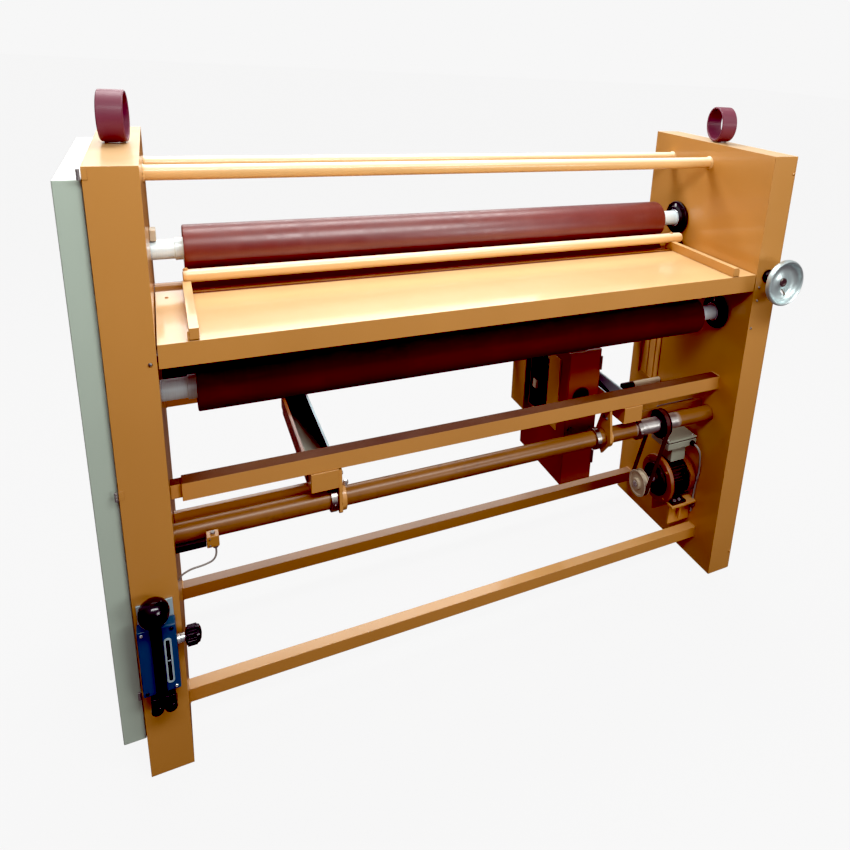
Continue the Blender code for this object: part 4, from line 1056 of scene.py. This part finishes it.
# ---------------------------------------------------------------- speed control and limit switch
def rounded_rectangle(low, high, radius):
    """The outline of a rectangle with round corners."""
    outline = []
    for quarter, (right, upper) in enumerate(((1, 1), (0, 1), (0, 0), (1, 0))):
        x = high[0] - radius if right else low[0] + radius
        y = high[1] - radius if upper else low[1] + radius
        outline += circle((x, y), radius, 6, quarter * math.pi / 2, math.pi / 2)
    return outline


def make_control():
    """The speed control's screws, window, groove liner, lever with its ball, and rubber boot."""
    for i, spot in enumerate((x, z) for z in (378, 241) for x in (-759.5, -709.5)):
        finish = "bright_steel" if i in (0, 3) else "black_iron"
        add(f"control_screw_{i + 1}", screw_head("Y", spot, 3.3, -29.8, -32.2), finish)
    outer = rounded_rectangle((-724.5, 253), (-711.5, 358), 5.8)
    inner = rounded_rectangle((-721.2, 257), (-714.8, 354), 3.0)
    add("control_window_bezel", hoop(outer, inner, "Y", -29.6, -31.8), "pale_plate", edge=0.5)
    add("control_window_glass", prism(inner, "Y", -30.1, -30.6), "black_plastic")
    add_boxes("control_window_pointer", "pale_plate", 0.3, (-720.4, -31.3, 304), (-715.6, -30.7, 307))
    add_boxes("control_groove_liner", "black_plastic", 0.2, (-743.4, -22.6, 234), (-727.6, -22.1, 385))
    lever = [(0, 233), (5.6, 233.4), (6.4, 238), (5.0, 248), (4.6, 395), (6.5, 398), (8.2, 401), (13, 403.2)]
    lever += [(19.5, 407.5), (24.2, 414.5), (26.6, 423), (26.9, 431), (25.0, 439.5), (21.0, 446.8)]
    lever = turned(lever + [(15.5, 452), (8.5, 455.2), (0, 456)], "Z", (-735.5, -37.0), 64)
    add("control_lever_ball", lever, "black_plastic", replaces="control_lever")
    lobe = [(0, -36), (7.5, -36), (10.2, -34), (11, -31), (11, -5.4), (0, -5.4)]
    boot = merge(*[turned(lobe, "Y", (x, 195.0), 40) for x in (-746.0, -722.0)])
    merge(boot, block((-755.3, -34.2, 196), (-712.6, -5.7, 225.6)))
    add("control_boot", boot, "black_plastic", edge=0.8, replaces="control_foot")


def make_selector():
    """The ribbed selector knob on its bright collar."""
    axis = (-17.0, 338.0)
    stem = [(0, -701.4), (9.5, -701.4), (9.5, -696), (8.6, -695), (8.6, -688.6), (7, -688), (0, -688)]
    add("selector_collar", turned(stem, "X", axis, 40), "bright_steel", replaces="selector_knob")
    grip = prism(toothed(axis, 24, ((19.6, -0.22), (19.6, 0.22), (18.4, 0.5))), "X", -684.5, -667.5)
    merge(grip, turned([(0, -687.8), (12, -687.6), (16, -686), (18, -683.6), (0, -683.6)], "X", axis, 48))
    merge(grip, turned([(0, -668), (18, -668), (16, -663), (9, -660), (0, -659)], "X", axis, 48))
    add("selector_grip", grip, "black_plastic", "selector_knob")


def make_limit_switch():
    """The switch body, its plunger, its bar, and a cable that loops to the left cabinet."""
    bar = (-INNER + 0.4, 56, 474), (-637.4, 68, 488)
    add_boxes("limit_switch_bar", "black_iron", 0.8, *bar, replaces="limit_switch")
    # Painted shade: the switch case takes the darker ochre copy.
    add_boxes("limit_switch_case", "ochre_in_shade", 1.6, (-637, 49, 474), (-614, 72, 499))
    add("limit_switch_plunger", rod("Z", (-625, 60), 4.2, 499, 504, 24), "grey_steel")
    screws = [screw_head("Y", (-631, z), 2.0, 48.8, 47.2) for z in (479, 494)]
    add_each("limit_switch_screw", screws, "oiled_pin")
    add("limit_switch_gland", rod("Z", (-621, 60), 5.2, 466, 474, 24, 0.5, 3.4), "grey_steel")
    path = ((-621, 473), (-621, 450), (-628, 436), (-645, 430), (-668, 427), (-685, 419), (-691.5, 408))
    add("limit_switch_cable", swept([(x, 60, z) for x, z in path], 1.9), "grey_cable")


# ---------------------------------------------------------------- electrical enclosure and rear right
def enclosure_parts(front, back, rear_face):
    """Contactors, rails, a terminal strip and wire looms on the enclosure's back plate."""
    for i, z in enumerate((624.0, 560.0, 496.0)):
        rail = (rear_face - 19, front + 22, z), (rear_face - 13, back - 22, z + 26)
        add_boxes(f"electrical_rail_{i + 1}", "grey_steel", 0.8, *rail)
    x = rear_face - 72
    for i, (y, z) in enumerate(((250, 606), (306, 606), (350, 606), (262, 542), (318, 542))):
        unit = (x, y, z), (x + 52, y + 40, z + 58), (x - 8, y + 6, z + 12), (x + 1, y + 34, z + 46)
        finish = "cream_plastic" if i in (1, 3) else "black_plastic"
        add_boxes(f"electrical_contactor_{i + 1}", finish, 1.6, *unit)
        spots = [(y + side, z + height) for side in (10, 20, 30) for height in (6, 52)]
        screws = merge(*[screw_head("X", spot, 2.6, x - 0.4, x - 1.6) for spot in spots])
        add(f"electrical_contactor_screws_{i + 1}", screws, "bright_steel")
    terminals = []
    for k in range(14):
        y = front + 40 + 11 * k
        terminals += [(rear_face - 48, y, 490), (rear_face - 20, y + 9.4, 528)]
    add_boxes("electrical_terminal_strip", "cream_plastic", 0.8, *terminals)
    for i in range(10):
        y = front + 46 + 15 * i
        top = 606 if i % 2 else 542
        sway = 7 * math.sin(i * 2.1)
        path = ((74, 0, top + 4), (82, sway, top - 14), (80, 2 * sway, 548), (64, -sway, 528), (48.4, 0, 512))
        wire = swept([(rear_face - deep, y + aside, z) for deep, aside, z in path], 1.5, 8)
        add(f"electrical_wire_{i + 1}", wire, ("copper_wire", "blue_wire", "black_plastic")[i % 3])


def make_electrical_box():
    """What the enclosure holds, its door with lock, vent and hinges, and the folded window lip."""
    x0, x1, y0, y1, z0, z1 = 262.0, 362.0, 190.0, 439.0, 298.0, 700.0
    lip_x0, lip_x1, low, high = x0 - 1.8, x0 - 0.2, 449, 666
    lip = [(lip_x0, 231, low), (lip_x1, 235.6, high), (lip_x0, 396.4, low), (lip_x1, 401, high)]
    lip += [(lip_x0, 235.8, low), (lip_x1, 396.2, low + 5.6)]
    boxes = (
        # Painted light: the window lip takes the brighter ochre copy.
        ("window_lip", "ochre_bright", 0.5, *lip),
        ("back_plate", "maroon_band", 0.6, (x1 - 12, y0 + 10, z0 + 12), (x1 - 9, y1 - 10, z1 - 14)),
        # Painted shade: the door takes the deep red-brown ochre copy.
        ("door", "box_brown", 0.6, (x0 + 2, y0 - 1.8, z0 + 6), (x1 - 2, y0 - 0.3, z1 - 6)),
        ("top_bracket", "cream_plastic", 0.8, (x0 + 4, y0 + 8, z1 + 0.4), (x0 + 58, y1 - 120, z1 + 3.2)),
        ("rear_post", "ochre_paint", 1.2, (x0 - 27, 384, 440), (x0 - 24, 465, 715),
         (x0 - 23.8, 441.2, 446), (x0 + 14, 444.2, 709)),
        ("front_strip", "ochre_paint", 0.5, (x0 - 3.4, 231, low), (x0 - 2, 291, high)),
        ("switch", "black_plastic", 1.2, (x0 - 12, 343, 556), (x0 - 2.2, 367, 592)),
        ("switch_base", "cream_plastic", 1.0, (x0 - 11, 345, 524), (x0 - 2.2, 365, 550)),
    )
    for name, finish, edge, *corners in boxes:
        add_boxes("electrical_" + name, finish, edge, *corners)
    enclosure_parts(y0, y1, x1)
    vent = placed([(0, -2.6), (24, -2.6), (27, -2.2), (27, -1.9), (0, -1.9)], y0)
    # Painted shade: the vent is a near-black disc for the shade in its opening.
    add("electrical_door_vent", turned(vent, "Y", (305, 568), 48), "gap_shade_black")
    lock = placed([(0, -6), (6, -6), (8, -5), (8, -2), (0, -2)], y0)
    add("electrical_door_lock", turned(lock, "Y", (280, 470), 32), "grey_steel")
    barrels = [rod("Z", (x1 - 1.0, y0 - 3.6), 3.2, z, z + 40, 24) for z in (350, 640)]
    add_each("electrical_door_hinge", barrels, "oiled_pin")


def make_rear_right():
    """The tension rod and arm, the stay bar and its nut, and the brace bar by the right cabinet."""
    spacer = rod("X", (160.0, 480.0), 9.0, 498.0, 584.0, 48, 2.0)
    merge(spacer, rod("X", (160.0, 480.0), 4.5, 470.0, 690.0, 24))
    add("tension_rod", spacer, "ground_steel")
    add_boxes("tension_arm", "grey_steel", 1.0, (560, 166, 472), (INNER - 0.5, 172, 500))
    add("stay_bar", rod("X", (332.0, 485.0), 9.5, 591.0, INNER - 0.5, 48, 1.0), "cream_plastic")
    add("stay_bar_nut", rod("X", (332.0, 485.0), 10.5, 549.0, 591.4, 48, 1.0), "black_iron")
    # Painted shade: the brace bar takes the darker ochre copy.
    add_boxes("right_brace_bar", "ochre_in_shade", 1.4, (459.0, 130.0, 490.0), (INNER - 0.4, 142.0, 515.0))


def make_pieces():
    dress_frame()
    soften_nodes()
    make_rollers()
    tie_tubes()
    frame_welds()
    channel_trim()
    make_drive()
    make_cabinets()
    make_table()
    make_guide_bar()
    make_cover()
    lifting_ring("left", -1, -5.0)
    lifting_ring("right", 1, -13.6)
    make_handwheel()
    make_control()
    make_selector()
    make_limit_switch()
    make_electrical_box()
    make_rear_right()


# ---------------------------------------------------------------- camera, light and floor
# The camera's tone curve: what it records as black and as white, and the backdrop, a near-white
BLACK_LEVEL, WHITE_LEVEL = (0.020, 0.040, 0.030), (0.90, 0.90, 0.90)
BACKDROP = 0.839
WHITE = (1.0, 1.0, 1.0, 1.0)


def look_matrix(yaw, pitch, roll):
    """The camera's rotation from its heading, downward tilt and roll in degrees."""
    yaw, pitch, roll = (math.radians(a) for a in (yaw, pitch, roll))
    ahead = Vector((math.sin(yaw) * math.cos(pitch), math.cos(yaw) * math.cos(pitch), -math.sin(pitch)))
    level = Vector((math.cos(yaw), -math.sin(yaw), 0.0))
    upright = level.cross(ahead)
    right = level * math.cos(roll) + upright * math.sin(roll)
    above = upright * math.cos(roll) - level * math.sin(roll)
    return Matrix((right, above, -ahead)).transposed()


def shift_only_here(data, camera, channel, amount, station):
    """Lens shift that applies where the camera is set up and not where it is moved to."""
    driver = data.driver_add(channel).driver
    driver.type = "SCRIPTED"
    variable = driver.variables.new()
    variable.name = "x"
    variable.type = "TRANSFORMS"
    variable.targets[0].id = camera
    variable.targets[0].transform_type = "LOC_X"
    variable.targets[0].transform_space = "WORLD_SPACE"
    driver.expression = f"{amount} if abs(x - ({station})) < 0.001 else 0.0"


def make_camera():
    data = bpy.data.cameras.new("camera")
    camera = new_object("camera", data)
    station = Vector((-0.6649, -1.2744, 1.4715)) + PLACE
    camera.matrix_world = Matrix.Translation(station) @ look_matrix(28.859, 16.547, 4.002).to_4x4()
    data.sensor_width = 36.0
    data.lens = 30.013
    data.clip_start, data.clip_end = 0.05, 60.0
    shift_only_here(data, camera, "shift_x", -0.13238, station.x)
    shift_only_here(data, camera, "shift_y", -0.19640, station.x)
    bpy.context.scene.camera = camera


def show_to_camera(tree, output, shown, other):
    """One shader for what the camera sees directly, and another for all other rays."""
    direct = make_node(tree, "ShaderNodeLightPath").outputs["Is Camera Ray"]
    pick = make_node(tree, "ShaderNodeMixShader", {0: direct, 1: other, 2: shown})
    tree.links.new(pick.outputs[0], tree.nodes[output].inputs["Surface"])


def make_floor():
    """A pale floor that takes a faint shadow near the machine and melts into the backdrop."""
    mesh = bpy.data.meshes.new("floor")
    half = 30.0
    corners = [(-half, -half, 0.0), (half, -half, 0.0), (half, half, 0.0), (-half, half, 0.0)]
    mesh.from_pydata(corners, [], [(0, 1, 2, 3)])
    floor = new_object("floor", mesh)
    just_below = -0.0005
    floor.location.z = just_below
    material = bpy.data.materials.new("studio_floor")
    material.use_nodes = True
    tree = material.node_tree
    tree.nodes.remove(tree.nodes["Principled BSDF"])
    pale = make_node(tree, "ShaderNodeEmission", {0: WHITE, 1: BACKDROP}).outputs[0]
    shaded = make_node(tree, "ShaderNodeBsdfDiffuse", {0: (0.95, 0.95, 0.95, 1.0)}).outputs[0]
    blend = make_node(tree, "ShaderNodeMixShader", {0: 0.975, 1: shaded, 2: pale}).outputs[0]
    bounce = make_node(tree, "ShaderNodeBsdfDiffuse", {0: (0.08, 0.07, 0.065, 1.0)}).outputs[0]
    show_to_camera(tree, "Material Output", blend, bounce)
    mesh.materials.append(material)


def area_light(name, location, target, size, power):
    data = bpy.data.lights.new(name, "AREA")
    data.shape = "RECTANGLE"
    data.size, data.size_y = size
    data.energy = power
    light = new_object(name, data)
    light.location = location
    direction = Vector(target) - Vector(location)
    light.rotation_euler = direction.to_track_quat("-Z", "Y").to_euler()


def make_world():
    """A white backdrop for the camera, and a dim room that is brighter overhead for everything else."""
    world = bpy.data.worlds.new("studio")
    world.use_nodes = True
    tree = world.node_tree
    shown = tree.nodes["Background"]
    shown.inputs[0].default_value = WHITE
    shown.inputs[1].default_value = BACKDROP
    place = make_node(tree, "ShaderNodeTexCoord").outputs["Generated"]
    split = make_node(tree, "ShaderNodeSeparateXYZ", {0: place})
    total = None
    ramps = (("Z", 0.0, 0.8, 0.03, 0.42), ("Y", 0.1, 0.9, 0.0, 0.45), ("Y", 0.0, -0.9, 0.0, 0.14))
    for axis, start, stop, dim, bright in ramps:
        inputs = {"From Min": start, "From Max": stop, "To Min": dim, "To Max": bright}
        inputs["Value"] = split.outputs[axis]
        ramp = make_node(tree, "ShaderNodeMapRange", inputs).outputs[0]
        if total:
            ramp = make_node(tree, "ShaderNodeMath", {0: total, 1: ramp}, operation="ADD").outputs[0]
        total = ramp
    room = make_node(tree, "ShaderNodeBackground", {0: (1.0, 0.99, 0.97, 1.0), 1: total}).outputs[0]
    show_to_camera(tree, "World Output", shown.outputs[0], room)
    bpy.context.scene.world = world


def make_light():
    make_world()
    area_light("key", (-0.05, -1.45, 2.55), (0.0, -0.1, 0.9), (2.2, 0.5), 38.0)
    area_light("front_fill", (1.7, -3.4, 1.5), (0.2, -0.2, 0.8), (1.4, 1.0), 30.0)
    area_light("overhead", (0.0, 0.75, 2.6), (0.0, 0.1, 1.0), (2.6, 0.8), 46.0)
    area_light("back_rim", (0.3, 2.8, 2.4), (0.0, 0.2, 1.0), (2.8, 1.0), 26.0)
    settings = bpy.context.scene.view_settings
    settings.view_transform = "Standard"
    settings.look = "None"
    settings.use_curve_mapping = True
    settings.curve_mapping.black_level = BLACK_LEVEL
    settings.curve_mapping.white_level = WHITE_LEVEL
    settings.curve_mapping.update()


make_materials()
make_pieces()
make_floor()
make_light()
make_camera()
